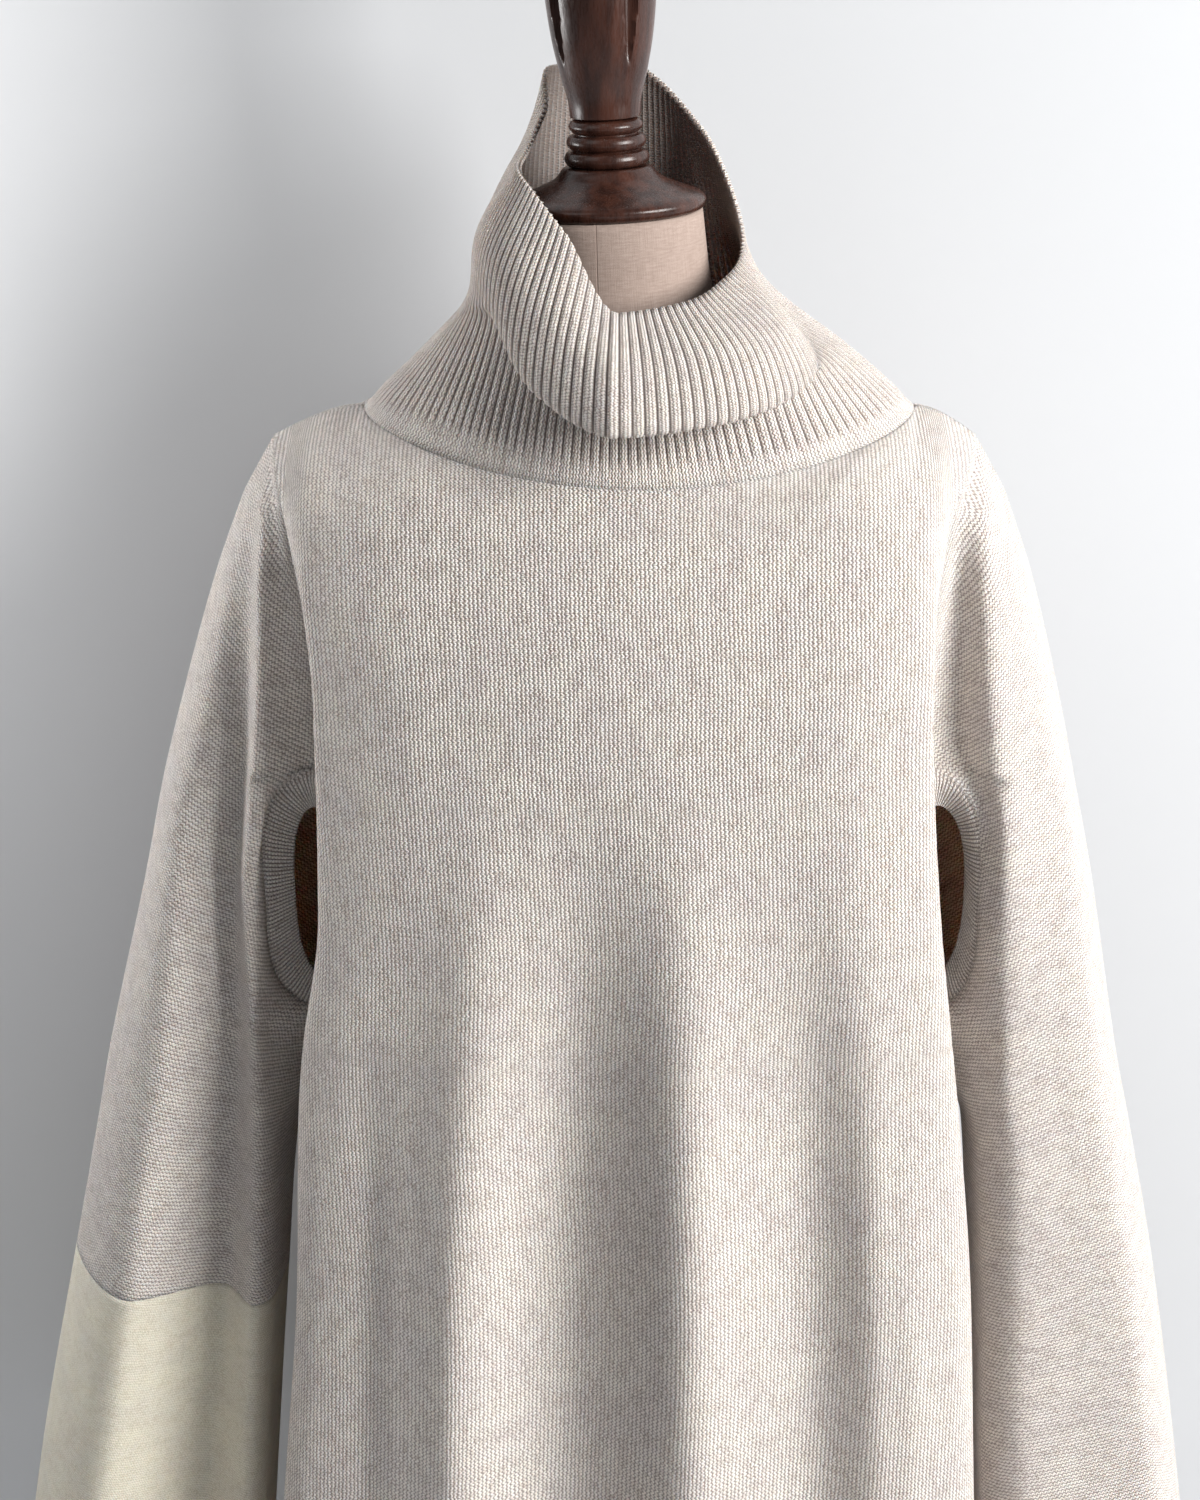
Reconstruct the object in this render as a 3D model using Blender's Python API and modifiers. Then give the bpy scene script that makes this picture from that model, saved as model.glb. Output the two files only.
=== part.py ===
"""Sweater dress with a slouchy ribbed collar and arm slits, hung on a limbless dress form.

The dress is cut as a wide T: a front and a back, two sleeves that hang from the shoulder
tips, a ribbed collar and a ribbed band round each arm slit. Each cloth piece is a surface
laid through sections worked out from the tables below, made a wall of knit. The form is a
linen torso with a turned wooden neck, a pole and a round base that stands on the floor.

The tables are in centimetres: x to the wearer's left, y to the back, z up from the level
of the shoulder tips, which is TIP_HEIGHT above the floor. Everything built is in metres.
"""

import math
from itertools import pairwise
from typing import NamedTuple

import bmesh
import bpy
import numpy as np
from mathutils import Matrix, Vector

CM = 0.01
TIP_HEIGHT = 1.32
KNIT = 0.0022
SEAM_GAP = 0.0008
UNDERARM_GAP = 0.0080
CREASE_GAP_MOST = 0.0045
COLLAR_GAP = 0.0010
BAND_GAP = 0.0010
FIT_GAP = 0.0003
DRAWN_IN_MOST = 0.9

# ---------------------------------------------------------------- the body of the dress

TIP_X = (-19.5, 20.3)
NECK_X = (-14.3, 16.7)
NECK_SIDE_Z = 1.7
NECK_FRONT = (-11.0, -0.6)
NECK_BACK = (8.0, 4.0)
SHOULDER_SHARE = 0.11
SEAM_SHARE = 0.013
YOKE_STEPS = (0.0, 0.08, 0.4, 0.75, 1.0)
YOKE_Z = -3.2
SLIT_TOP = -18.0
SLIT_BOTTOM = -34.0
SLIT_STEPS = 6
UNDERARM_Z = -38.0
UNDERARM_FROM_Z = -27.0
HEM_Z = -98.0
UPPER_HEIGHTS = (-5.5, -8.0, -11.0, -14.5)
LOWER_HEIGHTS = (-44.0, -52.0, -62.0, -73.0, -85.0, HEM_Z)


class BodyRow(NamedTuple):
    """Half of a level section of the body: where its seams, folded edges and middle lie."""

    z: float
    seam_right: float
    edge_right: float
    edge_left: float
    seam_left: float
    seam_y: float
    edge_y: float
    turn_y: float
    face_y: float


FRONT_ROWS = (
    BodyRow(-3.2, -18.4, -18.0, 17.9, 18.4, -6.6, -7.6, -8.9, -11.7),
    BodyRow(-8.0, -17.5, -17.2, 17.4, 17.7, -7.4, -9.4, -10.2, -12.5),
    BodyRow(-13.0, -17.0, -16.8, 17.35, 17.4, -6.8, -9.8, -10.4, -12.9),
    BodyRow(-18.0, -16.8, -16.8, 17.6, 17.5, -6.2, -9.7, -10.4, -12.9),
    BodyRow(-26.0, -16.2, -16.95, 18.3, 17.3, -5.2, -9.2, -10.2, -12.7),
    BodyRow(-34.0, -16.8, -18.1, 19.3, 18.0, -3.0, -8.8, -9.9, -12.5),
    BodyRow(-38.0, -17.1, -18.5, 19.8, 18.4, 0.0, -8.4, -9.8, -12.5),
    BodyRow(-50.0, -17.5, -19.0, 21.0, 19.2, 0.0, -8.4, -9.9, -12.6),
    BodyRow(-64.0, -18.6, -20.2, 21.7, 20.0, 0.0, -8.8, -10.4, -13.0),
    BodyRow(-80.0, -20.0, -21.4, 22.6, 21.2, 0.0, -9.6, -11.3, -13.8),
    BodyRow(-98.0, -21.4, -22.8, 23.8, 22.4, 0.0, -10.6, -13.0, -14.8),
)

BACK_ROWS = (
    BodyRow(-3.2, -18.4, -17.7, 18.5, 19.2, 5.4, 6.8, 8.4, 10.4),
    BodyRow(-8.0, -17.5, -17.0, 17.8, 18.3, 7.0, 8.2, 9.6, 11.4),
    BodyRow(-16.0, -16.9, -16.8, 17.8, 17.9, 6.8, 8.6, 10.2, 11.8),
    BodyRow(-26.0, -16.6, -17.2, 18.2, 17.6, 5.2, 8.4, 10.2, 11.4),
    BodyRow(-34.0, -16.8, -18.0, 19.2, 18.0, 2.8, 8.2, 10.2, 11.2),
    BodyRow(-38.0, -17.1, -18.3, 19.7, 18.4, 0.0, 8.2, 10.3, 11.4),
    BodyRow(-50.0, -17.5, -19.0, 20.8, 19.2, 0.0, 8.6, 11.0, 12.4),
    BodyRow(-64.0, -18.6, -20.2, 21.6, 20.0, 0.0, 9.2, 11.8, 13.4),
    BodyRow(-80.0, -20.0, -21.4, 22.6, 21.2, 0.0, 10.0, 12.8, 14.4),
    BodyRow(-98.0, -21.4, -22.8, 23.8, 22.4, 0.0, 11.0, 13.8, 15.4),
)


class Fold(NamedTuple):
    """A soft fold down a panel: its place and width at hip height, its start and its push."""

    x: float
    half_width: float
    start_z: float
    push: float


FRONT_FOLDS = (
    Fold(-14.6, 2.1, -18.0, -0.9),
    Fold(-9.2, 2.5, -15.0, 2.1),
    Fold(-2.4, 3.2, -13.0, -2.0),
    Fold(4.2, 2.7, -14.0, 2.2),
    Fold(11.4, 3.0, -16.0, -1.7),
    Fold(15.6, 2.3, -16.0, 1.0),
)
BACK_FOLDS = (
    Fold(-12.0, 2.6, -20.0, 1.6),
    Fold(-6.2, 3.0, -16.0, -1.8),
    Fold(0.6, 3.2, -14.0, 2.0),
    Fold(8.0, 3.0, -18.0, -1.9),
    Fold(13.6, 2.6, -22.0, 1.5),
)
FOLD_PLACE_Z = -48.0
FOLD_DROP = 34.0
FOLD_EARLY = 0.72

# ---------------------------------------------------------------- sleeves and arm slits

SLEEVE_END_Z = -77.0
BLOCK_SHARE = 0.66
FAN = 0.62
SLEEVE_STEPS = (0.0, 0.02, 0.06, 0.13, 0.22, 0.32, 0.43, 0.545, BLOCK_SHARE)
BLOCK_STEPS = (BLOCK_SHARE, 0.77, 0.885, 1.0)
LEVELLING = ((0.0, 1.0), (0.33, 0.55), (BLOCK_SHARE, 0.04), (1.0, 0.0))


class SleeveRow(NamedTuple):
    """A level section of a sleeve, as distances out from the form's middle plane.

    From the front seam it dips, rises to a ridge, tucks in behind it, fills out to the
    outer fold and comes back round the hind side; inner is where the closed tube meets,
    and above the underarm only the slope that the curve below it starts with.
    """

    z: float
    dip: tuple
    ridge: tuple
    tuck: tuple
    lobe: tuple
    outer: tuple
    hind: tuple
    tail: tuple
    inner: float


RIGHT_SLEEVE = (
    SleeveRow(-3.2, (18.9, -5.8), (19.7, -5.3), (20.2, -3.8), (20.8, -2.2), (21.3, 0.2),
              (20.6, 2.6), (19.2, 4.4), -3.4),
    SleeveRow(-8.0, (18.5, -6.9), (19.7, -7.1), (20.6, -5.5), (22.0, -4.2), (23.1, 0.2),
              (22.0, 3.4), (19.4, 6.0), -0.4),
    SleeveRow(-16.0, (18.8, -6.6), (20.2, -7.3), (21.2, -5.4), (23.5, -5.2), (25.5, 0.2),
              (24.0, 4.2), (19.6, 6.2), 4.2),
    SleeveRow(-20.5, (20.0, -7.0), (20.7, -7.2), (21.7, -5.1), (24.6, -5.5), (26.7, 0.2),
              (25.2, 4.6), (20.0, 6.2), 6.8),
    SleeveRow(-26.0, (20.6, -6.3), (21.2, -6.7), (22.3, -4.7), (25.5, -5.8), (27.9, 0.2),
              (26.4, 5.0), (20.6, 6.0), 10.1),
    SleeveRow(-38.0, (20.2, -4.7), (21.2, -6.1), (22.8, -4.0), (27.0, -6.3), (30.8, 0.2),
              (28.6, 5.6), (20.6, 5.2), 17.1),
    SleeveRow(-42.0, (20.4, -4.7), (21.3, -6.1), (23.1, -3.8), (27.8, -6.5), (31.6, 0.2),
              (29.4, 5.9), (20.8, 5.2), 19.3),
    SleeveRow(-52.0, (20.8, -4.6), (21.8, -6.1), (24.0, -3.5), (29.4, -6.8), (33.7, 0.2),
              (31.0, 6.4), (21.6, 5.4), 20.3),
    SleeveRow(-64.0, (21.6, -4.5), (22.6, -6.0), (25.4, -3.5), (31.4, -7.2), (36.2, 0.2),
              (33.0, 6.8), (23.0, 5.6), 21.3),
    SleeveRow(-77.0, (22.2, -4.4), (23.7, -5.9), (26.8, -3.6), (33.4, -7.4), (38.4, 0.2),
              (35.0, 7.0), (24.4, 5.8), 22.3),
)

LEFT_SLEEVE = (
    SleeveRow(-3.2, (19.0, -5.8), (20.0, -5.6), (20.9, -4.2), (21.5, -2.1), (22.1, 0.2),
              (21.4, 2.6), (20.0, 4.4), -2.1),
    SleeveRow(-8.0, (18.9, -5.9), (20.4, -7.1), (21.8, -6.1), (23.1, -3.6), (23.8, 0.2),
              (22.8, 3.4), (20.2, 6.0), 0.9),
    SleeveRow(-16.0, (19.1, -5.4), (21.2, -7.3), (22.9, -6.3), (24.8, -4.2), (25.9, 0.2),
              (24.6, 4.2), (20.4, 6.2), 5.5),
    SleeveRow(-20.5, (20.6, -6.2), (21.9, -7.3), (23.8, -6.3), (25.8, -4.5), (26.9, 0.2),
              (25.5, 4.6), (20.8, 6.2), 8.1),
    SleeveRow(-26.0, (21.2, -6.2), (22.4, -7.1), (24.6, -6.3), (26.8, -4.9), (28.1, 0.2),
              (26.6, 5.0), (21.4, 6.0), 11.4),
    SleeveRow(-38.0, (21.3, -4.8), (23.1, -6.7), (25.8, -6.2), (28.4, -5.4), (30.3, 0.2),
              (28.2, 5.6), (21.4, 5.2), 18.4),
    SleeveRow(-42.0, (21.6, -4.6), (23.8, -6.7), (26.4, -6.2), (29.2, -5.5), (31.2, 0.2),
              (29.0, 5.9), (21.8, 5.2), 21.0),
    SleeveRow(-52.0, (22.2, -4.6), (24.5, -6.5), (27.4, -6.2), (31.0, -5.6), (33.3, 0.2),
              (30.8, 6.4), (22.8, 5.4), 21.7),
    SleeveRow(-64.0, (22.6, -4.4), (25.2, -6.5), (28.8, -6.2), (32.8, -5.8), (35.3, 0.2),
              (32.6, 6.8), (24.0, 5.6), 22.5),
    SleeveRow(-77.0, (23.6, -4.4), (26.4, -6.6), (30.2, -6.2), (34.6, -5.8), (37.2, 0.2),
              (34.0, 7.0), (25.2, 5.8), 23.3),
)


class Slit(NamedTuple):
    """How far a slit's cloth edge and its hole edge lie off the armhole seam, at mid height."""

    cloth_out: float
    cloth_y: float
    hole_out: float
    hole_y: float


RIGHT_SLIT = Slit(4.1, -0.3, 2.5, 0.5)
LEFT_SLIT = Slit(3.5, -0.5, 2.6, 1.2)
BODY_CUT = 2.6
HOLE_CUT = 1.2
SEAM_EASE = 0.6
EASED_ABOVE_Z = -18.0
STRAIGHT_BELOW_Z = -28.0
SLIT_SQUARENESS = 3.0
SLIT_REACH = 0.5
BAND_WIDTH = 1.7
BAND_RIBS_PER_STEP = 5
BAND_RIB_HEIGHT = 0.0007
BAND_RIBBED = (0.3, 1.0)
BAND_RIBS_FADE = 0.5
EDGE_BLURS = 5
HOLE_BLURS = 16

# ---------------------------------------------------------------- the collar

RIBS = 128
RIB_HEIGHT = 0.0009
COLLAR_WALL = 0.0022
INSIDE_SHARE = 4
NORMAL_REACH = 3
COLLAR_STEPS = (0.0, 0.07, 0.2, 0.31, 0.44, 0.55, 0.78, 1.0)
COLLAR_RIBBED = (0.0, 0.6, 0.8, 0.8, 1.0, 1.0, 1.0, 1.0)


class CollarRow(NamedTuple):
    """The collar's profile at one bearing (degrees from the front, plus to the wearer's left).

    Each pair is a distance out from the form's middle and a height.
    """

    bearing: float
    neck: tuple
    bulge: tuple
    face: tuple
    top: tuple


COLLAR_ROWS = (
    CollarRow(-142.0, (7.8, 7.8), (7.2, 11.8), (6.8, 15.8), (6.1, 20.0)),
    CollarRow(-115.0, (9.2, 6.3), (7.6, 9.8), (7.0, 13.9), (4.5, 17.9)),
    CollarRow(-90.0, (10.6, 5.2), (8.1, 8.2), (7.5, 12.0), (5.0, 16.0)),
    CollarRow(-50.0, (9.3, 7.0), (9.4, 8.6), (8.9, 11.4), (6.6, 14.9)),
    CollarRow(-22.0, (9.0, 5.8), (11.6, 4.6), (10.7, 8.4), (7.5, 12.4)),
    CollarRow(0.0, (9.0, 4.6), (13.2, 2.9), (12.2, 6.0), (8.5, 8.5)),
    CollarRow(24.0, (9.6, 4.8), (13.3, 3.3), (12.2, 6.4), (8.3, 8.8)),
    CollarRow(50.0, (11.6, 4.6), (12.9, 4.4), (11.2, 7.2), (7.4, 9.6)),
    CollarRow(90.0, (12.9, 4.9), (9.2, 7.2), (7.4, 9.4), (6.9, 11.6)),
    CollarRow(135.0, (8.6, 7.2), (7.8, 10.4), (7.2, 13.6), (6.5, 16.8)),
    CollarRow(180.0, (7.0, 8.0), (6.8, 12.2), (6.7, 16.2), (6.5, 20.2)),
)

# ---------------------------------------------------------------- the dress form


class TorsoRow(NamedTuple):
    """A level section of the form's torso."""

    z: float
    middle_x: float
    half_width: float
    front_y: float
    back_y: float


TORSO_ROWS = (
    TorsoRow(12.6, 0.0, 5.2, -5.2, 5.2),
    TorsoRow(9.0, 0.0, 5.5, -5.6, 5.6),
    TorsoRow(6.0, 0.1, 6.2, -6.2, 6.2),
    TorsoRow(4.0, 0.2, 8.0, -6.9, 6.9),
    TorsoRow(2.2, 0.3, 12.1, -7.7, 7.5),
    TorsoRow(0.92, 0.4, 16.6, -8.4, 8.1),
    TorsoRow(-0.9, 0.4, 18.6, -8.9, 8.6),
    TorsoRow(-3.0, 0.4, 18.3, -9.4, 9.1),
    TorsoRow(-7.0, 0.4, 16.8, -10.2, 9.7),
    TorsoRow(-13.0, 0.4, 15.1, -11.2, 10.2),
    TorsoRow(-20.0, 0.4, 14.6, -11.5, 9.9),
    TorsoRow(-29.0, 0.4, 12.9, -10.0, 8.8),
    TorsoRow(-38.0, 0.3, 11.6, -9.0, 8.2),
    TorsoRow(-47.0, 0.2, 14.0, -9.6, 9.6),
    TorsoRow(-56.0, 0.1, 15.8, -10.2, 11.0),
    TorsoRow(-66.0, 0.0, 15.2, -9.8, 10.6),
)
TORSO_SIDES = 32
NECK_LEAN = math.radians(-2.3)
LEAN_ONSET = 6.0
TURNED_STEPS = 24

PLATE_PROFILE = ((0.0, 15.1), (2.3, 15.1), (2.9, 14.5), (4.1, 13.9), (5.2, 13.45), (5.42, 13.15),
                 (5.3, 12.8), (5.0, 12.63), (0.0, 12.63))
BEAD_CENTRES = ((2.05, 15.55, 0.42), (1.9, 16.45, 0.4), (1.75, 17.3, 0.4))
BEAD_ARC_STEPS = 2
FINIAL_PROFILE = ((0.0, 38.1), (0.8, 37.9), (1.6, 36.9), (2.4, 34.8), (2.9, 32.2), (3.15, 29.4),
                  (3.2, 26.8), (3.05, 24.4), (2.8, 22.2), (2.4, 20.2), (2.0, 18.6), (1.9, 17.73),
                  (0.0, 17.73))
GROOVE_BEARINGS = (-57.0, 33.0, 123.0, 213.0)
GROOVE_CENTRE_Z = 28.4
GROOVE_HALF = (0.62, 0.5, 7.6)
GROOVE_OUT = 3.25

SOCKET_PROFILE = ((0.0, -66.03), (4.6, -66.03), (4.8, -66.3), (4.6, -66.7), (2.6, -67.4),
                  (2.1, -68.6), (0.0, -68.6))
POLE_RADIUS = 1.3
POLE_TOP = -68.63
BASE_RADIUS = 17.0
BASE_PROFILE = ((0.0, 5.2), (1.9, 5.2), (2.2, 4.9), (2.2, 3.4), (3.0, 2.7), (9.0, 2.3),
                (15.8, 1.9), (16.7, 1.5), (17.0, 0.9), (16.8, 0.2), (16.5, 0.0), (0.0, 0.0))


# ---------------------------------------------------------------- curves through tables


def slopes(steps, values):
    """Slopes of a monotone cubic: none where a value turns back, a harmonic mean elsewhere."""
    rise = np.diff(values, axis=0) / steps
    inner = np.zeros_like(rise[1:])
    product = rise[:-1] * rise[1:]
    np.divide(2.0 * product, rise[:-1] + rise[1:], out=inner, where=product > 0.0)
    return np.concatenate((rise[:1], inner, rise[-1:]))


def smooth(places, values, at):
    """Read a smooth curve through values at rising places; values may hold points."""
    places = np.asarray(places, float)
    values = np.asarray(values, float)
    points = values if values.ndim > 1 else values[:, None]
    steps = np.diff(places)[:, None]
    ends = slopes(steps, points)
    at = np.clip(np.atleast_1d(at), places[0], places[-1])
    k = np.clip(np.searchsorted(places, at) - 1, 0, len(places) - 2)
    h = steps[k]
    t = (at[:, None] - places[k][:, None]) / h
    out = (points[k] * (1 + 2 * t) * (1 - t) ** 2 + ends[k] * h * t * (1 - t) ** 2
           + points[k + 1] * t * t * (3 - 2 * t) - ends[k + 1] * h * t * t * (1 - t))
    return out if values.ndim > 1 else out[:, 0]


def rounded(controls, at):
    """Read a round curve, with no corners, through evenly stepped controls at shares of it."""
    controls = np.asarray(controls, float)
    ways = np.gradient(controls, axis=0)
    places = np.asarray(at) * (len(controls) - 1)
    k = np.minimum(places.astype(int), len(controls) - 2)
    t = (places - k)[:, None]
    return (controls[k] * (1 + 2 * t) * (1 - t) ** 2 + ways[k] * t * (1 - t) ** 2
            + controls[k + 1] * t * t * (3 - 2 * t) - ways[k + 1] * t * t * (1 - t))


def lengths(points):
    """Running length along a list of points."""
    return np.concatenate(([0.0], np.cumsum(np.linalg.norm(np.diff(points, axis=0), axis=1))))


def along(controls, shares, samples=120):
    """Points at the given shares of the length of a smooth curve through the controls."""
    run = lengths(controls)
    dense = smooth(run, controls, np.linspace(0.0, run[-1], samples))
    travelled = lengths(dense)
    at = np.asarray(shares) * travelled[-1]
    return np.stack([np.interp(at, travelled, dense[:, k]) for k in range(dense.shape[1])], 1)


def read_rows(rows, z):
    """A table row at height z, between the rows above and below it."""
    heights = [-row.z for row in rows]
    values = np.array([np.hstack(row[1:]) for row in rows])
    return smooth(heights, values, [-z])[0]


# ---------------------------------------------------------------- front and back


def column_shares(neck_steps):
    """Where a panel's columns cross its width: close at the seams, even under the neck."""
    shoulder = (0.0, SEAM_SHARE, 0.06, SHOULDER_SHARE)
    neck = np.linspace(SHOULDER_SHARE, 1.0 - SHOULDER_SHARE, neck_steps + 1)[1:-1]
    return np.array([*shoulder, *neck, *(1.0 - s for s in reversed(shoulder))])


def neck_line(share, middle):
    """A point of a panel's top edge: shoulder line, neck seam, shoulder line."""
    if share < SHOULDER_SHARE or share > 1.0 - SHOULDER_SHARE:
        side = 0 if share < 0.5 else 1
        in_from_tip = min(share, 1.0 - share) / SHOULDER_SHARE
        x = TIP_X[side] + (NECK_X[side] - TIP_X[side]) * in_from_tip
        return np.array((x, 0.0, NECK_SIDE_Z * math.sin(in_from_tip * math.pi / 2)))
    turn = math.pi * ((share - SHOULDER_SHARE) / (1.0 - 2.0 * SHOULDER_SHARE) - 0.5)
    centre = sum(NECK_X) / 2
    x = centre + (NECK_X[1] - NECK_X[0]) / 2 * math.sin(turn)
    height = middle[1] * math.cos(turn) ** 2 + NECK_SIDE_Z * math.sin(turn) ** 2
    return np.array((x, middle[0] * math.cos(turn), height))


def unit(ways):
    """Directions at unit length."""
    ways = np.asarray(ways, float)
    return ways / np.linalg.norm(ways, axis=-1, keepdims=True)


def crossing(before, seam, after):
    """The unit direction in which a section crosses a seam, between its two neighbours."""
    return unit(unit(np.subtract(seam, before)) + unit(np.subtract(after, seam)))


def eased(seam, way, neighbour, z):
    """A point just past a seam, so that high up the wall crosses it without a crease.

    Lower down the wall runs straight from its neighbour into the valley of the seam.
    """
    straight = unit(np.subtract(neighbour, seam))
    share = (z - STRAIGHT_BELOW_Z) / (EASED_ABOVE_Z - STRAIGHT_BELOW_Z)
    share = min(max(share, 0.0), 1.0)
    reach = min(SEAM_EASE, 0.3 * np.linalg.norm(np.subtract(neighbour, seam)))
    return np.add(seam, reach * unit(share * np.asarray(way) + (1.0 - share) * straight))


def slit_rise(z):
    """The oval of a slit: nothing at its ends and past them, one at mid height."""
    share = (z - SLIT_TOP) / (SLIT_BOTTOM - SLIT_TOP)
    return math.sqrt(max(0.0, 1.0 - abs(2.0 * share - 1.0) ** SLIT_SQUARENESS))


def oval_heights(top, bottom):
    """Heights that step evenly round an oval, from its top to its bottom."""
    turns = np.linspace(0.0, math.pi, SLIT_STEPS + 1)
    return (top + bottom) / 2 + (top - bottom) / 2 * np.cos(turns)


def seam_end(seam, edge, z, side, outward):
    """A body panel's seam point, cut back round the slit, and the point just inside it."""
    seam, edge = np.array(seam), np.array(edge)
    if z <= UNDERARM_Z:
        return seam, np.add(seam, (0.0, outward * SEAM_EASE))
    if outward < 0:
        seam += unit(edge - seam) * slit_rise(z) * BODY_CUT
    row = read_rows(RIGHT_SLEEVE if side < 0 else LEFT_SLEEVE, z)
    beyond = (row[:2] if outward < 0 else row[12:14]) * (side, 1.0)
    return seam, eased(seam, -crossing(edge, seam, beyond), edge, z)


def body_section(rows, z, shares):
    """A panel's level section at height z, as points at the given shares of its width."""
    seam_r, edge_r, edge_l, seam_l, seam_y, edge_y, turn_y, face_y = read_rows(rows, z)
    outward = math.copysign(1.0, face_y)
    middle = (edge_r + edge_l) / 2
    face = []
    for across in (-0.94, -0.62, 0.0, 0.62, 0.94):
        reach = (edge_l - middle) if across > 0 else (middle - edge_r)
        round_off = 1.0 - (1.0 - math.sqrt(1.0 - across * across)) * 1.35
        face.append((middle + across * reach, turn_y + (face_y - turn_y) * max(round_off, 0.0)))
    ends = []
    for side, seam_x, edge_x in ((-1.0, seam_r, edge_r), (1.0, seam_l, edge_l)):
        edge = (edge_x, edge_y)
        ends.append((*seam_end((seam_x, seam_y), edge, z, side, outward), edge))
    controls = [*ends[0], *face, *reversed(ends[1])]
    points = along(np.array(controls), shares)
    return np.column_stack((points, np.full(len(points), z)))


def fold_push(folds, x, z, spread):
    """How far the folds push a panel's point out from the form."""
    push = np.zeros_like(x)
    for fold in folds:
        early = min(max((fold.start_z - z) / FOLD_DROP, 0.0), 1.0)
        early = early * early * (3.0 - 2.0 * early)
        slow = min(max((fold.start_z - z) / (fold.start_z - HEM_Z), 0.0), 1.0)
        grown = FOLD_EARLY * early + (1.0 - FOLD_EARLY) * slow
        push += fold.push * grown * np.exp(-(((x / spread) - fold.x) / fold.half_width) ** 2)
    return push


def body_heights():
    """The heights of a panel's rows below the yoke, with the slit's ends among them."""
    return [*UPPER_HEIGHTS, *oval_heights(SLIT_TOP, SLIT_BOTTOM), UNDERARM_Z, *LOWER_HEIGHTS]


UNDERARM_ROW = len(YOKE_STEPS) + len(UPPER_HEIGHTS) + SLIT_STEPS + 1
SLIT_ROW = len(YOKE_STEPS) + len(UPPER_HEIGHTS)


def body_panel(rows, middle, folds, shares):
    """The middle surface of a front or back, from its top edge over the yoke to its hem."""
    outward = math.copysign(1.0, middle[0])
    top = np.array([neck_line(share, middle) for share in shares])
    chest = body_section(rows, YOKE_Z, shares)
    arch = np.clip(np.abs(chest[:, 1] - top[:, 1]) / 5.0, 0.0, 1.0)[:, None]
    weights = np.hstack((np.full_like(arch, 0.5), 0.55 + 0.3 * arch, 0.5 - 0.35 * arch))
    bend = top + (chest - top) * weights
    grid = [top * (1 - t) ** 2 + bend * 2 * t * (1 - t) + chest * t * t for t in YOKE_STEPS]
    width_at_place = read_rows(rows, FOLD_PLACE_Z)[2]
    window = np.sin(np.pi * shares) ** 0.5
    for z in body_heights():
        row = body_section(rows, z, shares)
        spread = read_rows(rows, z)[2] / width_at_place
        row[:, 1] += outward * window * fold_push(folds, row[:, 0], z, spread)
        grid.append(row)
    return np.array(grid)


# ---------------------------------------------------------------- sleeves


def uncut_seam(side, z):
    """The front armhole seam at height z, as if no slit were cut."""
    row = read_rows(FRONT_ROWS, z)
    return np.array((row[0 if side < 0 else 3], row[4]))


def folded_edge(side, z):
    """The body's folded front edge at height z."""
    row = read_rows(FRONT_ROWS, z)
    return np.array((row[1 if side < 0 else 2], row[5]))


def sleeve_seam(front_edge, slit, side):
    """The sleeve's side of the front armhole, which bows out round the arm slit."""
    seam = front_edge.copy()
    for row in range(SLIT_ROW, SLIT_ROW + SLIT_STEPS + 1):
        z = seam[row, 2]
        bow = np.array((side * slit.cloth_out, slit.cloth_y)) * slit_rise(z)
        seam[row, :2] = uncut_seam(side, z) + bow
    return seam


def sleeve_controls(rows, side, z):
    """The named points of a sleeve's level section, which close on the tip above the table."""
    points = read_rows(rows, min(z, rows[0].z))[:-1].reshape(-1, 2)
    if z > rows[0].z:
        tip = (abs(TIP_X[0 if side < 0 else 1]), 0.0)
        points = tip + (points - tip) * (z / rows[0].z)
    return points * (side, 1.0)


class Seam(NamedTuple):
    """One half of an armhole: its points from the tip down, and the cloth's way across it."""

    points: np.ndarray
    ways: np.ndarray
    turns: np.ndarray

    def read(self, z):
        """The seam's point, way and turn at height z."""
        down = -self.points[:, 2]
        point = np.array([np.interp(-z, down, self.points[:, k]) for k in (0, 1)])
        way = [np.interp(-z, down, self.ways[:, k]) for k in (0, 1)]
        return point, unit(way), np.interp(-z, down, self.turns)


def sleeve_seams(rows, side, front, back, slit):
    """A sleeve's two seams, which take the way of the body's cloth but for the slit's edge."""
    column, beside = (0, 1) if side < 0 else (-1, -2)
    seams = []
    for grid, way_round in ((front, -0.5), (back, 0.5)):
        points = grid[: UNDERARM_ROW + 1, column]
        ways = points - grid[: UNDERARM_ROW + 1, beside]
        run = lengths(points)
        seams.append(Seam(points, unit(ways[:, :2]), 0.5 + way_round * run / run[-1]))
    points = sleeve_seam(seams[0].points, slit, side)
    return Seam(points, seams[0].ways, seams[0].turns), seams[1]


def sleeve_point(rows, side, seams, turn, z):
    """A point of a sleeve at height z, at its turn round from the underarm by the front."""
    if z > UNDERARM_Z:
        (front, front_way, low), (back, back_way, high) = (seam.read(z) for seam in seams)
    else:
        front = back = np.array((side * read_rows(rows, z)[-1], 0.0))
        front_way, back_way, low, high = (0.0, -1.0), (0.0, 1.0), 0.0, 1.0
    middle = sleeve_controls(rows, side, z)
    controls = np.vstack((front, eased(front, front_way, middle[0], z), middle,
                          eased(back, back_way, middle[-1], z), back))
    share = (turn - low) / (high - low)
    fanned = share ** FAN / (share ** FAN + (1.0 - share) ** FAN)
    bow = np.linalg.norm(front - uncut_seam(side, z)) if slit_rise(z) > 0.0 else 0.0
    cut = bow / (bow + lengths(controls)[-1])
    pushed = max(fanned, cut + fanned * (1.0 - cut / SLIT_REACH))
    return np.append(along(controls, [(pushed - cut) / (1.0 - cut)])[0], z)


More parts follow.
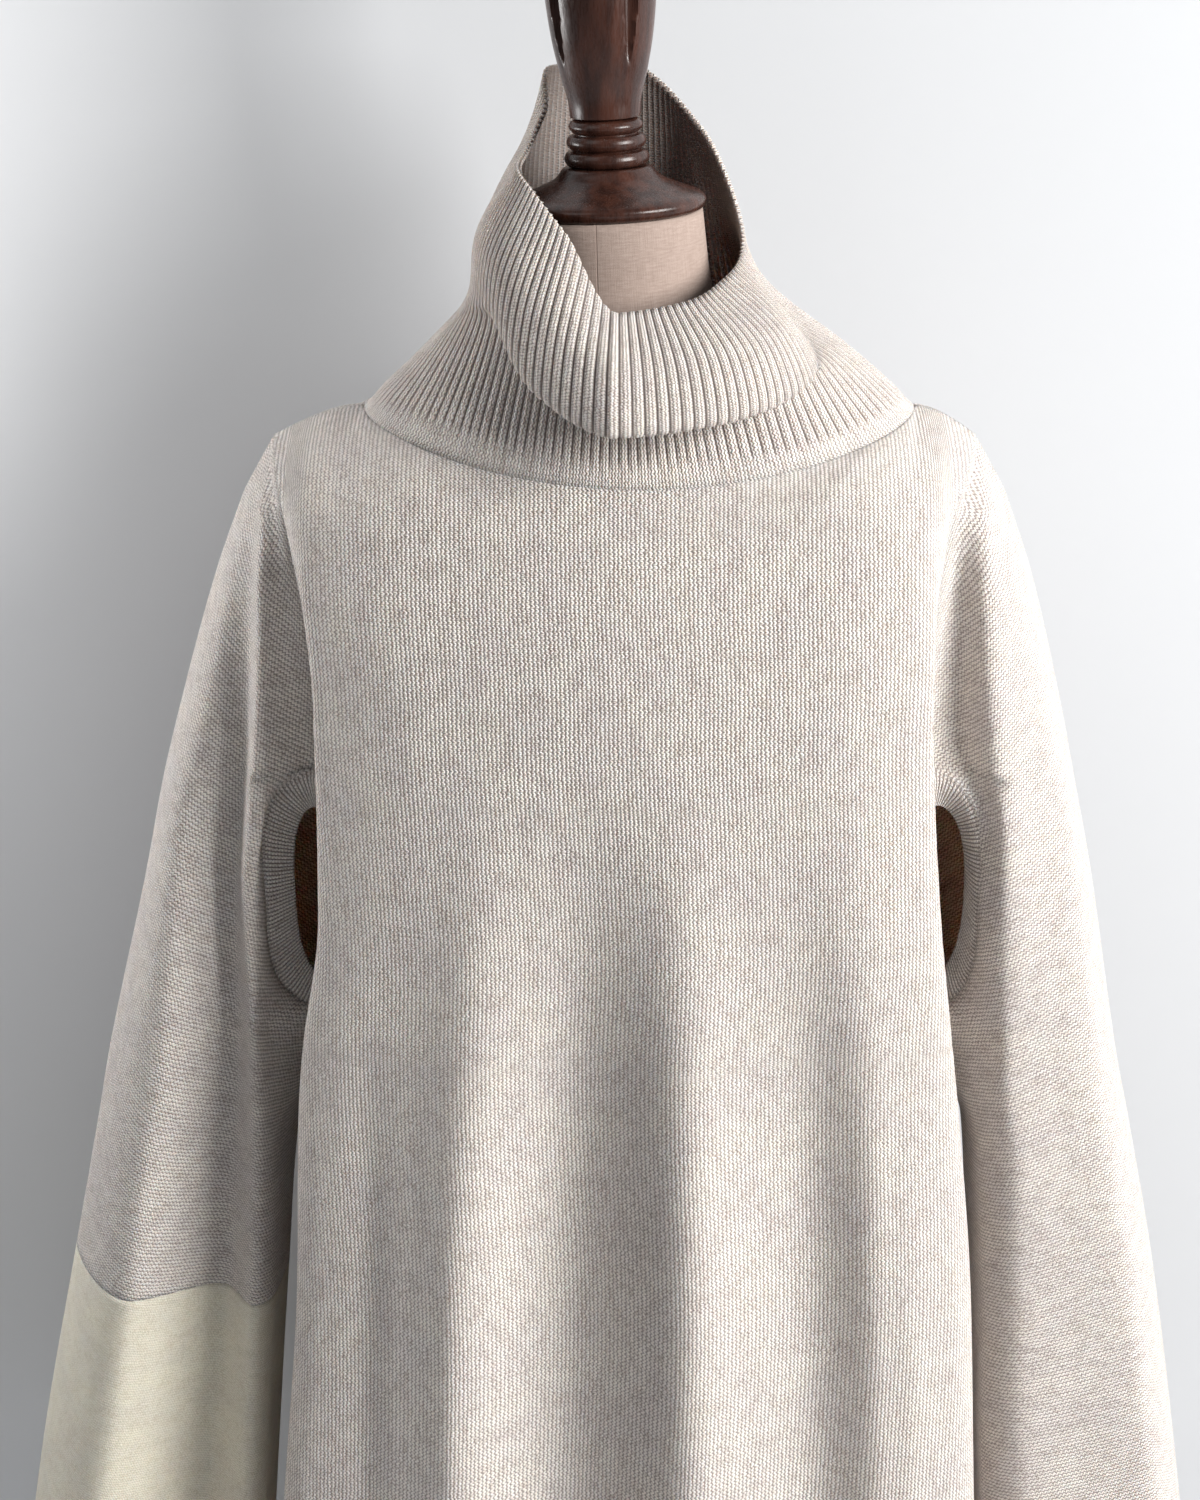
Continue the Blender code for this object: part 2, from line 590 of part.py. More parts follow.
def sleeve_surface(rows, side, seams, steps):
    """The middle surface of a sleeve, row by row from the armhole down."""
    front, back = seams
    columns = [(front.turns[k], front.points[k]) for k in range(UNDERARM_ROW, 0, -1)]
    columns += [(back.turns[k], back.points[k]) for k in range(UNDERARM_ROW)]
    levels = np.array(LEVELLING)
    grid = []
    for step in steps:
        level = smooth(levels[:, 0], levels[:, 1], [step])[0]
        heights = [start[2] * level + SLEEVE_END_Z * step for turn, start in columns]
        grid.append([start if step == 0.0 else sleeve_point(rows, side, seams, turn, z)
                     for (turn, start), z in zip(columns, heights, strict=True)])
    return np.array(grid)


def off_seam(grid, closed=True):
    """At each point of a grid's first row, the step to the next row square to the row."""
    edge = grid[0]
    run = np.roll(edge, -1, 0) - np.roll(edge, 1, 0) if closed else np.gradient(edge, axis=0)
    run = unit(run)
    way = grid[1] - edge
    return way - run * np.sum(way * run, axis=1)[:, None]


def drawn_in(grid, gap, closed=True):
    """A grid whose first row is drawn in from its seam by the gaps, one a column."""
    away = np.linalg.norm(off_seam(grid, closed), axis=1)
    moved = grid.copy()
    moved[0] += (grid[1] - grid[0]) * np.minimum(gap / CM / away, DRAWN_IN_MOST)[:, None]
    return moved


def crease_gap(grid, onto):
    """The gaps a wall needs at its first row, where it meets walls that arrive along onto."""
    turn = np.arccos(np.clip(np.sum(unit(off_seam(grid)) * unit(onto), axis=1), -1.0, 1.0))
    return SEAM_GAP + np.minimum(KNIT / 2 * np.tan(turn / 2), CREASE_GAP_MOST)


# ---------------------------------------------------------------- meshes


def placed(points):
    """Table centimetres, up from the shoulder tips, to metres above the floor."""
    return np.asarray(points) * CM + (0.0, 0.0, TIP_HEIGHT)


def add_object(name, bm, material, collection):
    """Put a finished bmesh in the scene under its node's name."""
    mesh = bpy.data.meshes.new(name)
    bm.to_mesh(mesh)
    bm.free()
    mesh.materials.append(material)
    made = bpy.data.objects.new(name, mesh)
    collection.objects.link(made)
    return made


def smooth_shaded(made, degrees=40.0):
    """Shade round forms smooth and keep hard edges."""
    made.data.shade_smooth()
    made.data.set_sharp_from_angle(angle=math.radians(degrees))
    return made


def sheet(name, grid, closed, material, collection):
    """A knit wall: an open surface through the grid, thickened both ways."""
    bm = bmesh.new()
    rows = [[bm.verts.new(point) for point in row] for row in placed(grid)]
    count = len(rows[0])
    for upper, lower in pairwise(rows):
        for k in range(count if closed else count - 1):
            after = (k + 1) % count
            bm.faces.new((upper[k], lower[k], lower[after], upper[after]))
    made = add_object(name, bm, material, collection)
    wall = made.modifiers.new("knit wall", "SOLIDIFY")
    wall.thickness = KNIT
    wall.offset = 0.0
    wall.use_even_offset = True
    return smooth_shaded(made)


def ring_normals(rings):
    """Unit normals of a surface through closed rings, at every point."""
    round_way = np.roll(rings, -NORMAL_REACH, axis=1) - np.roll(rings, NORMAL_REACH, axis=1)
    down_way = np.gradient(rings, axis=0)
    normals = np.cross(round_way, down_way)
    return normals / np.linalg.norm(normals, axis=2)[:, :, None]


def bridge(bm, many, few):
    """Close a rim between a ring of many points and one of few, which divides it."""
    ratio = len(many) // len(few)
    half = ratio // 2
    for k in range(len(few)):
        here, there = few[k], few[(k + 1) % len(few)]
        fan = [many[(k * ratio + j) % len(many)] for j in range(ratio + 1)]
        for j in range(ratio):
            bm.faces.new((fan[j], fan[j + 1], here if j < half else there))
        bm.faces.new((here, fan[half], there))


def ribbed_wall(name, rings, ribbed, rib_heights, wall, inside_share, material, collection):
    """A closed knit wall through rings: ribs raised on its outer points, plain inside."""
    normals = ring_normals(rings)
    ridge = np.where(np.arange(rings.shape[1]) % 2 == 0, rib_heights, 0.0)
    raised = wall / 2 + np.outer(ribbed, ridge)
    outer = rings + normals * raised[:, :, None]
    inner = (rings - normals * wall / 2)[:, ::inside_share]
    bm = bmesh.new()
    skins = [[[bm.verts.new(point) for point in row] for row in skin] for skin in (outer, inner)]
    for skin in skins:
        for upper, lower in pairwise(skin):
            for k in range(len(upper)):
                after = (k + 1) % len(upper)
                bm.faces.new((upper[k], lower[k], lower[after], upper[after]))
    for end in (0, -1):
        bridge(bm, skins[0][end], skins[1][end])
    bmesh.ops.recalc_face_normals(bm, faces=bm.faces)
    return smooth_shaded(add_object(name, bm, material, collection), 60.0)


def turned(name, profile, material, collection):
    """A shape turned about the vertical axis from a profile in centimetres, top to bottom."""
    bm = bmesh.new()
    points = [bm.verts.new((r * CM, 0.0, z * CM)) for r, z in profile]
    for upper, lower in pairwise(points):
        bm.edges.new((upper, lower))
    made = add_object(name, bm, material, collection)
    lathe = made.modifiers.new("lathe", "SCREW")
    lathe.angle = 2.0 * math.pi
    lathe.steps = TURNED_STEPS
    lathe.render_steps = TURNED_STEPS
    lathe.use_merge_vertices = True
    lathe.merge_threshold = 0.0001
    lathe.use_smooth_shade = True
    return made


# ---------------------------------------------------------------- pieces


def make_collar(neck_seam, material, collection):
    """The slouchy ribbed collar, from the neck seam up, over its front fold to its top edge."""
    bearings = np.degrees(np.arctan2(neck_seam[:, 0], -neck_seam[:, 1]))
    order = np.argsort(bearings)
    around = np.linspace(-180.0, 180.0, 2 * RIBS + 1)[:-1]
    base = np.stack([np.interp(around, bearings[order], neck_seam[order, k], period=360.0)
                     for k in range(3)], 1)
    table = np.array([np.hstack(row) for row in COLLAR_ROWS])
    wrapped = np.vstack((table[-1:] - (360.0, *[0.0] * 8), table, table[:1] + (360.0, *[0.0] * 8)))
    numbers = smooth(wrapped[:, 0], wrapped[:, 1:], around)
    columns = []
    for bearing, foot, row in zip(np.radians(around), base, numbers, strict=True):
        way = np.array((math.sin(bearing), -math.cos(bearing)))
        controls = np.vstack(((np.linalg.norm(foot[:2]), foot[2]), row.reshape(-1, 2)))
        profile = rounded(controls, COLLAR_STEPS)
        columns.append(np.column_stack((profile[:, :1] * way, profile[:, 1])))
    rings = drawn_in(np.array(columns).transpose(1, 0, 2), np.full(len(around), COLLAR_GAP))
    return ribbed_wall("collar", placed(rings), COLLAR_RIBBED, RIB_HEIGHT, COLLAR_WALL,
                       INSIDE_SHARE, material, collection)


def stepped(points, per_step):
    """Points along a list of points, the same number in each stretch, without the last."""
    places = np.arange(0.0, len(points) - 1, 1.0 / per_step)
    return np.stack([np.interp(places, range(len(points)), points[:, k]) for k in range(3)], 1)


def blurred(ring, times):
    """A closed ring of points with its corners rounded off."""
    for _ in range(times):
        ring = (np.roll(ring, -1, axis=0) + ring + np.roll(ring, 1, axis=0)) / 3
    return ring


def make_arm_band(name, body_edge, cloth_edge, slit, side, material, collection):
    """The ribbed band round an arm slit: out along the sleeve's edge, back along the body's."""
    per_step = 2 * BAND_RIBS_PER_STEP
    span = slice(SLIT_ROW, SLIT_ROW + SLIT_STEPS + 1)
    down = stepped(cloth_edge[span], per_step)
    up = stepped(body_edge[span][::-1], per_step)
    sleeve_side, body_side = [], []
    heights = oval_heights(SLIT_TOP - BAND_WIDTH, SLIT_BOTTOM + BAND_WIDTH)
    for z, level in zip(heights, oval_heights(SLIT_TOP, SLIT_BOTTOM), strict=True):
        seam = uncut_seam(side, z)
        to_edge = unit(folded_edge(side, z) - seam)
        rise = slit_rise(level)
        sleeve_side.append((*(seam + np.array((side * slit.hole_out, slit.hole_y)) * rise), z))
        body_side.append((*(seam + to_edge * HOLE_CUT * rise), z))
    hole = np.vstack((stepped(np.array(sleeve_side), per_step),
                      stepped(np.array(body_side[::-1]), per_step)))
    rings = np.array((blurred(np.vstack((down, up)), EDGE_BLURS), blurred(hole, HOLE_BLURS)))
    rings = drawn_in(rings, np.full(rings.shape[1], BAND_GAP))
    if side > 0:
        rings = np.roll(rings[:, ::-1], 1, axis=1)
    from_ends = np.abs(np.sin(np.arange(rings.shape[1]) * 2.0 * math.pi / rings.shape[1]))
    heights = BAND_RIB_HEIGHT * np.minimum(from_ends / BAND_RIBS_FADE, 1.0)
    return ribbed_wall(name, placed(rings), BAND_RIBBED, heights, KNIT, per_step // 2,
                       material, collection)


def leaned(points):
    """Points of the form's neck, turned about the shoulder level as the neck leans."""
    out = []
    for point in points:
        eased = min(max(point[2] / LEAN_ONSET, 0.0), 1.0)
        out.append(Matrix.Rotation(NECK_LEAN * eased, 3, "Y") @ Vector(point))
    return np.array(out)


def make_torso(material, collection):
    """The limbless linen torso, a closed loft through its level sections."""
    bm = bmesh.new()
    rings = []
    for row in TORSO_ROWS:
        ring = []
        for k in range(TORSO_SIDES):
            turn = 2.0 * math.pi * k / TORSO_SIDES
            depth = row.back_y if math.sin(turn) > 0 else -row.front_y
            x = row.middle_x + row.half_width * math.cos(turn)
            ring.append((x, depth * math.sin(turn), row.z))
        rings.append([bm.verts.new(point) for point in placed(leaned(ring))])
    for upper, lower in pairwise(rings):
        for k in range(TORSO_SIDES):
            after = (k + 1) % TORSO_SIDES
            bm.faces.new((upper[k], lower[k], lower[after], upper[after]))
    bm.faces.new(rings[0])
    bm.faces.new(reversed(rings[-1]))
    bmesh.ops.recalc_face_normals(bm, faces=bm.faces)
    return smooth_shaded(add_object("form_torso", bm, material, collection))


def bead_profile():
    """The outline of the stacked beads, top to bottom."""
    points = [(0.0, BEAD_CENTRES[-1][1] + BEAD_CENTRES[-1][2])]
    for radius, z, half in reversed(BEAD_CENTRES):
        for step in range(2 * BEAD_ARC_STEPS - 1):
            turn = math.pi / 2 - math.pi * (step + 0.5) / (2 * BEAD_ARC_STEPS - 1)
            points.append((radius + 0.3 * math.cos(turn), z + half * math.sin(turn)))
    points.append((0.0, BEAD_CENTRES[0][1] - BEAD_CENTRES[0][2]))
    return points


def groove_cutter(bearing, axis_object, material, collection):
    """A long ellipsoid that cuts one lancet groove in the finial."""
    bm = bmesh.new()
    bmesh.ops.create_uvsphere(bm, u_segments=10, v_segments=12, radius=1.0)
    turn = math.radians(bearing)
    shape = Matrix.LocRotScale(
        Vector((GROOVE_OUT * math.sin(turn), -GROOVE_OUT * math.cos(turn), GROOVE_CENTRE_Z)) * CM,
        Matrix.Rotation(turn, 3, "Z").to_quaternion(),
        Vector(GROOVE_HALF) * CM,
    )
    bmesh.ops.transform(bm, matrix=shape, verts=bm.verts)
    cutter = add_object(f"groove_cutter_{bearing:.0f}", bm, material, collection)
    cutter.parent = axis_object
    cutter.hide_render = True
    cutter.display_type = "WIRE"
    return cutter


def make_neck(wood, collection, cutters):
    """The turned plate, beads and grooved finial, on an empty that carries the neck's lean."""
    axis = bpy.data.objects.new("neck_axis", None)
    axis.location = (0.0, 0.0, TIP_HEIGHT)
    axis.rotation_euler = (0.0, NECK_LEAN, 0.0)
    collection.objects.link(axis)
    pieces = {
        "neck_plate": PLATE_PROFILE,
        "neck_beads": bead_profile(),
        "finial": FINIAL_PROFILE,
    }
    for name, profile in pieces.items():
        made = turned(name, profile, wood, collection)
        made.parent = axis
    for bearing in GROOVE_BEARINGS:
        cut = made.modifiers.new(f"groove {bearing:.0f}", "BOOLEAN")
        cut.operation = "DIFFERENCE"
        cut.object = groove_cutter(bearing, axis, wood, cutters)


def make_stand(wood, collection):
    """The socket under the torso, the pole and the round base on the floor."""
    socket = turned("form_socket", SOCKET_PROFILE, wood, collection)
    socket.location.z = TIP_HEIGHT
    turned("base", BASE_PROFILE, wood, collection)
    foot = BASE_PROFILE[0][1] * CM + FIT_GAP
    top = TIP_HEIGHT + POLE_TOP * CM
    bm = bmesh.new()
    bmesh.ops.create_cone(bm, cap_ends=True, segments=TURNED_STEPS, radius1=POLE_RADIUS * CM,
                          radius2=POLE_RADIUS * CM, depth=top - foot)
    pole = smooth_shaded(add_object("pole", bm, wood, collection))
    pole.location.z = (top + foot) / 2


def make_material(name, colour, roughness):
    """A plain principled material."""
    made = bpy.data.materials.new(name)
    made.use_nodes = True
    shader = made.node_tree.nodes["Principled BSDF"]
    shader.inputs["Base Color"].default_value = (*colour, 1.0)
    shader.inputs["Roughness"].default_value = roughness
    shader.inputs["Metallic"].default_value = 0.0
    return made


def new_collection(name):
    """A collection in the scene."""
    made = bpy.data.collections.new(name)
    bpy.context.scene.collection.children.link(made)
    return made


def seam_drawn_panel(grid):
    """A body panel drawn in from its shoulder, neck and side seams by half the gap."""
    across = np.full(grid.shape[1], SEAM_GAP / 2)
    down = np.full(grid.shape[0], SEAM_GAP / 2)
    inside = drawn_in(grid, across, closed=False).transpose(1, 0, 2)
    inside = drawn_in(inside, down, closed=False)[::-1]
    return drawn_in(inside, down, closed=False)[::-1].transpose(1, 0, 2)


def make_sleeve(names, rows, seams, arriving, side, materials, collection):
    """A hanging sleeve, in one length, or in two where it ends in a block of colour."""
    upper = sleeve_surface(rows, side, seams, SLEEVE_STEPS)
    below = (UNDERARM_FROM_Z - upper[0][:, 2]) / (UNDERARM_FROM_Z - SLIT_BOTTOM)
    near_underarm = np.clip(below, 0.0, 1.0)
    steps = SLEEVE_STEPS
    if len(names) == 1:
        steps = (*SLEEVE_STEPS, *BLOCK_STEPS[1:])
    else:
        block = sleeve_surface(rows, side, seams, BLOCK_STEPS)
        fit = np.full(upper.shape[1], SEAM_GAP / 2)
        sheet(names[1], drawn_in(block, fit), True, materials[1], collection)
    upper = sleeve_surface(rows, side, seams, steps)
    gap = np.maximum(crease_gap(upper, arriving), UNDERARM_GAP * near_underarm)
    sheet(names[0], drawn_in(upper, gap), True, materials[0], collection)


def build():
    """Model the dress and its form."""
    for old in list(bpy.data.objects):
        bpy.data.objects.remove(old, do_unlink=True)
    parts = new_collection("sweater_dress")
    cutters = new_collection("cutters")
    heather = make_material("heather_knit", (0.56, 0.50, 0.45), 0.9)
    cream = make_material("cream_knit", (0.80, 0.75, 0.64), 0.9)
    linen = make_material("linen", (0.62, 0.51, 0.38), 0.85)
    wood = make_material("dark_wood", (0.06, 0.022, 0.014), 0.35)

    front_shares = column_shares(18)
    back_shares = column_shares(12)
    front = body_panel(FRONT_ROWS, NECK_FRONT, FRONT_FOLDS, front_shares)
    back = body_panel(BACK_ROWS, NECK_BACK, BACK_FOLDS, back_shares)
    sheet("front", seam_drawn_panel(front), False, heather, parts)
    sheet("back", seam_drawn_panel(back), False, heather, parts)

    sides = (
        ("right", -1.0, RIGHT_SLEEVE, RIGHT_SLIT, ("sleeve_right", "sleeve_right_block")),
        ("left", 1.0, LEFT_SLEEVE, LEFT_SLIT, ("sleeve_left",)),
    )
    for word, side, rows, slit, names in sides:
        seams = sleeve_seams(rows, side, front, back, slit)
        column, beside = (0, 1) if side < 0 else (-1, -2)
        onto = [grid[: UNDERARM_ROW + 1, column] - grid[: UNDERARM_ROW + 1, beside]
                for grid in (front, back)]
        band_way = (side * (slit.cloth_out - slit.hole_out), slit.cloth_y - slit.hole_y, 0.0)
        onto[0][SLIT_ROW + 1 : SLIT_ROW + SLIT_STEPS] = band_way
        arriving = np.vstack((onto[0][:0:-1], onto[1][:-1]))
        make_sleeve(names, rows, seams, arriving, side, (heather, cream), parts)
        body_edge = front[:, column]
        make_arm_band(f"arm_band_{word}", body_edge, seams[0].points, slit, side, heather, parts)

    neck_seam = np.vstack((front[0, 3:-3], back[0, 4:-4]))
    make_collar(neck_seam, heather, parts)

    make_torso(linen, parts)
    make_neck(wood, parts, cutters)
    make_stand(wood, parts)


build()
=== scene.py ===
"""Sweater dress with a slouchy ribbed collar and arm slits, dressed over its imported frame.

Every cloth piece is a surface of two parameters laid through the level sections that the
tables below describe, then given the thickness of its knit. The tables are in centimetres:
x to the wearer's left, y to the back, z up from the level of the shoulder tips. Everything
built is in metres in the frame's own axes.
"""

import logging
import math
from dataclasses import dataclass, field
from enum import Enum
from typing import NamedTuple

import bmesh
import bpy
import numpy as np
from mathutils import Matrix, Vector


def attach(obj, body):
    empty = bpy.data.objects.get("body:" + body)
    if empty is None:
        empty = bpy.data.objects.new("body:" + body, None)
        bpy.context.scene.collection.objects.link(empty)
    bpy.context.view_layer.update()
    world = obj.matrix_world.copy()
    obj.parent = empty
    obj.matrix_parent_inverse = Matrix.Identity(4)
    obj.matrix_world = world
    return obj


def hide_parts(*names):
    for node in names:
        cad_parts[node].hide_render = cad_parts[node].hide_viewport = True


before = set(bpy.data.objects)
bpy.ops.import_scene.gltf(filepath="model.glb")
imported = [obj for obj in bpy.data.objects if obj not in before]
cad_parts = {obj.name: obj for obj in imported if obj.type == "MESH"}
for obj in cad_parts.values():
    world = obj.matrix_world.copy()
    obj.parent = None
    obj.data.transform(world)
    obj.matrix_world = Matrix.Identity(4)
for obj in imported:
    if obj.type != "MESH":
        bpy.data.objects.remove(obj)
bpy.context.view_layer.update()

LOG = logging.getLogger("sweater_dress")

CM = 0.01
TIP_HEIGHT = 1.32
KNIT = 0.0022
STITCH = 0.00236
RIB_STITCHES = 3.0

# ------------------------------------------------------------------ tables of the dress

# Pairs of x are the wearer's right, then left; the neck's front and back are (y, z).
TIP_X = (-19.5, 20.3)
NECK_X = (-14.3, 16.7)
NECK_SIDE_Z = 1.7
NECK_FRONT = (-11.0, -0.6)
NECK_BACK = (8.0, 4.0)
SHOULDER_SHARE = 0.11
YOKE_Z = -3.2
SLIT_TOP = -18.0
SLIT_BOTTOM = -34.0
UNDERARM_Z = -38.0
HEM_Z = -98.0


class BodyRow(NamedTuple):
    """Half of a level section of the body: x of its seams and folded edges, then y of its
    seams, its edges, the turn into its face and the face's middle."""

    z: float
    seam_right: float
    edge_right: float
    edge_left: float
    seam_left: float
    seam_y: float
    edge_y: float
    turn_y: float
    face_y: float


FRONT_ROWS = (
    BodyRow(-3.2, -18.4, -18.0, 17.9, 18.4, -6.6, -7.6, -8.9, -11.7),
    BodyRow(-8.0, -17.5, -17.2, 17.4, 17.7, -7.4, -9.4, -10.2, -12.5),
    BodyRow(-13.0, -17.0, -16.8, 17.35, 17.4, -6.8, -9.8, -10.4, -12.9),
    BodyRow(-18.0, -16.8, -16.8, 17.6, 17.5, -6.2, -9.7, -10.4, -12.9),
    BodyRow(-26.0, -16.2, -16.95, 18.3, 17.3, -5.2, -9.2, -10.2, -12.7),
    BodyRow(-34.0, -16.8, -18.1, 19.3, 18.0, -3.0, -8.8, -9.9, -12.5),
    BodyRow(-38.0, -17.1, -18.5, 19.8, 18.4, 0.0, -8.4, -9.8, -12.5),
    BodyRow(-50.0, -17.5, -19.0, 21.0, 19.2, 0.0, -8.4, -9.9, -12.6),
    BodyRow(-64.0, -18.6, -20.2, 21.7, 20.0, 0.0, -8.8, -10.4, -13.0),
    BodyRow(-80.0, -20.0, -21.4, 22.6, 21.2, 0.0, -9.6, -11.3, -13.8),
    BodyRow(-98.0, -21.4, -22.8, 23.8, 22.4, 0.0, -10.6, -13.0, -14.8),
)
BACK_ROWS = (
    BodyRow(-3.2, -18.4, -17.7, 18.5, 19.2, 5.4, 6.8, 8.4, 10.4),
    BodyRow(-8.0, -17.5, -17.0, 17.8, 18.3, 7.0, 8.2, 9.6, 11.4),
    BodyRow(-16.0, -16.9, -16.8, 17.8, 17.9, 6.8, 8.6, 10.2, 11.8),
    BodyRow(-26.0, -16.6, -17.2, 18.2, 17.6, 5.2, 8.4, 10.2, 11.4),
    BodyRow(-34.0, -16.8, -18.0, 19.2, 18.0, 2.8, 8.2, 10.2, 11.2),
    BodyRow(-38.0, -17.1, -18.3, 19.7, 18.4, 0.0, 8.2, 10.3, 11.4),
    BodyRow(-50.0, -17.5, -19.0, 20.8, 19.2, 0.0, 8.6, 11.0, 12.4),
    BodyRow(-64.0, -18.6, -20.2, 21.6, 20.0, 0.0, 9.2, 11.8, 13.4),
    BodyRow(-80.0, -20.0, -21.4, 22.6, 21.2, 0.0, 10.0, 12.8, 14.4),
    BodyRow(-98.0, -21.4, -22.8, 23.8, 22.4, 0.0, 11.0, 13.8, 15.4),
)


class Fold(NamedTuple):
    """A soft fold down a panel: its place and width at hip height, its start and its push."""

    x: float
    half_width: float
    start_z: float
    push: float


FRONT_FOLDS = (
    Fold(-14.6, 2.1, -18.0, -0.35),
    Fold(-9.2, 2.5, -15.0, 2.4),
    Fold(-2.4, 3.2, -13.0, -2.2),
    Fold(4.2, 2.7, -14.0, 2.4),
    Fold(11.4, 3.0, -16.0, -1.7),
    Fold(15.6, 2.3, -16.0, 1.0),
)
BACK_FOLDS = (
    Fold(-12.0, 2.6, -20.0, 1.6),
    Fold(-6.2, 3.0, -16.0, -1.8),
    Fold(0.6, 3.2, -14.0, 2.0),
    Fold(8.0, 3.0, -18.0, -1.9),
    Fold(13.6, 2.6, -22.0, 1.5),
)
FOLD_PLACE_Z = -48.0
FOLD_DROP = 34.0
FOLD_EARLY = 0.72
FACE_SHARES = (-0.94, -0.62, 0.0, 0.62, 0.94)
FACE_SQUARED = 1.35

SLEEVE_END_Z = -77.0
BLOCK_SHARE = 0.66
FAN = 0.62
LEVELLING = ((0.0, 1.0), (0.33, 0.55), (BLOCK_SHARE, 0.04), (1.0, 0.0))
OUTER_CONTROL = 6
SAG_HEIGHTS, SAG_REACHES = (12.0, 55.0), (26.0, 10.0)
SAG_SLOPE = 0.95
SAG_EASING = 0.006
SAG_LOWEST = 80.0
SAG_ROUNDING = 0.6
SAG_NARROWING = 0.7


class SleeveRow(NamedTuple):
    """A level section of a sleeve, as distances out from the form's middle plane.

    From the front seam it dips, rises to a ridge, tucks in behind it, fills out to the
    outer fold and comes back round the hind side; inner is where the closed tube meets.
    """

    z: float
    dip: tuple[float, float]
    ridge: tuple[float, float]
    tuck: tuple[float, float]
    lobe: tuple[float, float]
    outer: tuple[float, float]
    hind: tuple[float, float]
    tail: tuple[float, float]
    inner: float


RIGHT_SLEEVE = (
    SleeveRow(-3.2, (18.9, -5.8), (19.7, -5.3), (20.2, -3.8), (20.8, -2.2), (21.3, 0.2),
              (20.6, 2.6), (19.2, 4.4), -3.4),
    SleeveRow(-8.0, (18.5, -6.9), (19.7, -7.1), (20.6, -5.5), (22.0, -4.2), (23.1, 0.2),
              (22.0, 3.4), (19.4, 6.0), -0.4),
    SleeveRow(-16.0, (18.8, -6.6), (20.2, -7.3), (21.2, -5.4), (23.5, -5.2), (25.5, 0.2),
              (24.0, 4.2), (19.6, 6.2), 4.2),
    SleeveRow(-20.5, (20.0, -7.0), (20.7, -7.2), (21.7, -5.1), (24.6, -5.5), (26.7, 0.2),
              (25.2, 4.6), (20.0, 6.2), 6.8),
    SleeveRow(-26.0, (20.6, -6.3), (21.2, -6.7), (22.3, -4.7), (25.5, -5.8), (27.9, 0.2),
              (26.4, 5.0), (20.6, 6.0), 10.1),
    SleeveRow(-38.0, (20.2, -4.7), (21.2, -6.1), (22.8, -4.0), (27.0, -6.3), (30.8, 0.2),
              (28.6, 5.6), (20.6, 5.2), 17.1),
    SleeveRow(-42.0, (20.4, -4.7), (21.3, -6.1), (23.1, -3.8), (27.8, -6.5), (31.6, 0.2),
              (29.4, 5.9), (20.8, 5.2), 19.3),
    SleeveRow(-52.0, (20.8, -4.6), (21.8, -6.1), (24.0, -3.5), (29.4, -6.8), (33.7, 0.2),
              (31.0, 6.4), (21.6, 5.4), 20.3),
    SleeveRow(-64.0, (21.6, -4.5), (22.6, -6.0), (25.4, -3.5), (31.4, -7.2), (36.2, 0.2),
              (33.0, 6.8), (23.0, 5.6), 21.3),
    SleeveRow(-77.0, (22.2, -4.4), (23.7, -5.9), (26.8, -3.6), (33.4, -7.4), (38.4, 0.2),
              (35.0, 7.0), (24.4, 5.8), 22.3),
)
LEFT_SLEEVE = (
    SleeveRow(-3.2, (19.0, -5.8), (20.0, -5.6), (20.9, -4.2), (21.5, -2.1), (22.1, 0.2),
              (21.4, 2.6), (20.0, 4.4), -2.1),
    SleeveRow(-8.0, (18.9, -5.9), (20.4, -7.1), (21.8, -6.1), (23.1, -3.6), (23.8, 0.2),
              (22.8, 3.4), (20.2, 6.0), 0.9),
    SleeveRow(-16.0, (19.1, -5.4), (21.2, -7.3), (22.9, -6.3), (24.8, -4.2), (25.9, 0.2),
              (24.6, 4.2), (20.4, 6.2), 5.5),
    SleeveRow(-20.5, (20.6, -6.2), (21.9, -7.3), (23.8, -6.3), (25.8, -4.5), (26.9, 0.2),
              (25.5, 4.6), (20.8, 6.2), 8.1),
    SleeveRow(-26.0, (21.2, -6.2), (22.4, -7.1), (24.6, -6.3), (26.8, -4.9), (28.1, 0.2),
              (26.6, 5.0), (21.4, 6.0), 11.4),
    SleeveRow(-38.0, (21.3, -4.8), (23.1, -6.7), (25.8, -6.2), (28.4, -5.4), (30.3, 0.2),
              (28.2, 5.6), (21.4, 5.2), 18.4),
    SleeveRow(-42.0, (21.6, -4.6), (23.8, -6.7), (26.4, -6.2), (29.2, -5.5), (31.2, 0.2),
              (29.0, 5.9), (21.8, 5.2), 21.0),
    SleeveRow(-52.0, (22.2, -4.6), (24.5, -6.5), (27.4, -6.2), (31.0, -5.6), (33.3, 0.2),
              (30.8, 6.4), (22.8, 5.4), 21.7),
    SleeveRow(-64.0, (22.6, -4.4), (25.2, -6.5), (28.8, -6.2), (32.8, -5.8), (35.3, 0.2),
              (32.6, 6.8), (24.0, 5.6), 22.5),
    SleeveRow(-77.0, (23.6, -4.4), (26.4, -6.6), (30.2, -6.2), (34.6, -5.8), (37.2, 0.2),
              (34.0, 7.0), (25.2, 5.8), 23.3),
)


class Slit(NamedTuple):
    """How far a slit's cloth edge and its hole edge lie off the armhole seam, at mid height."""

    cloth_out: float
    cloth_y: float
    hole_out: float
    hole_y: float


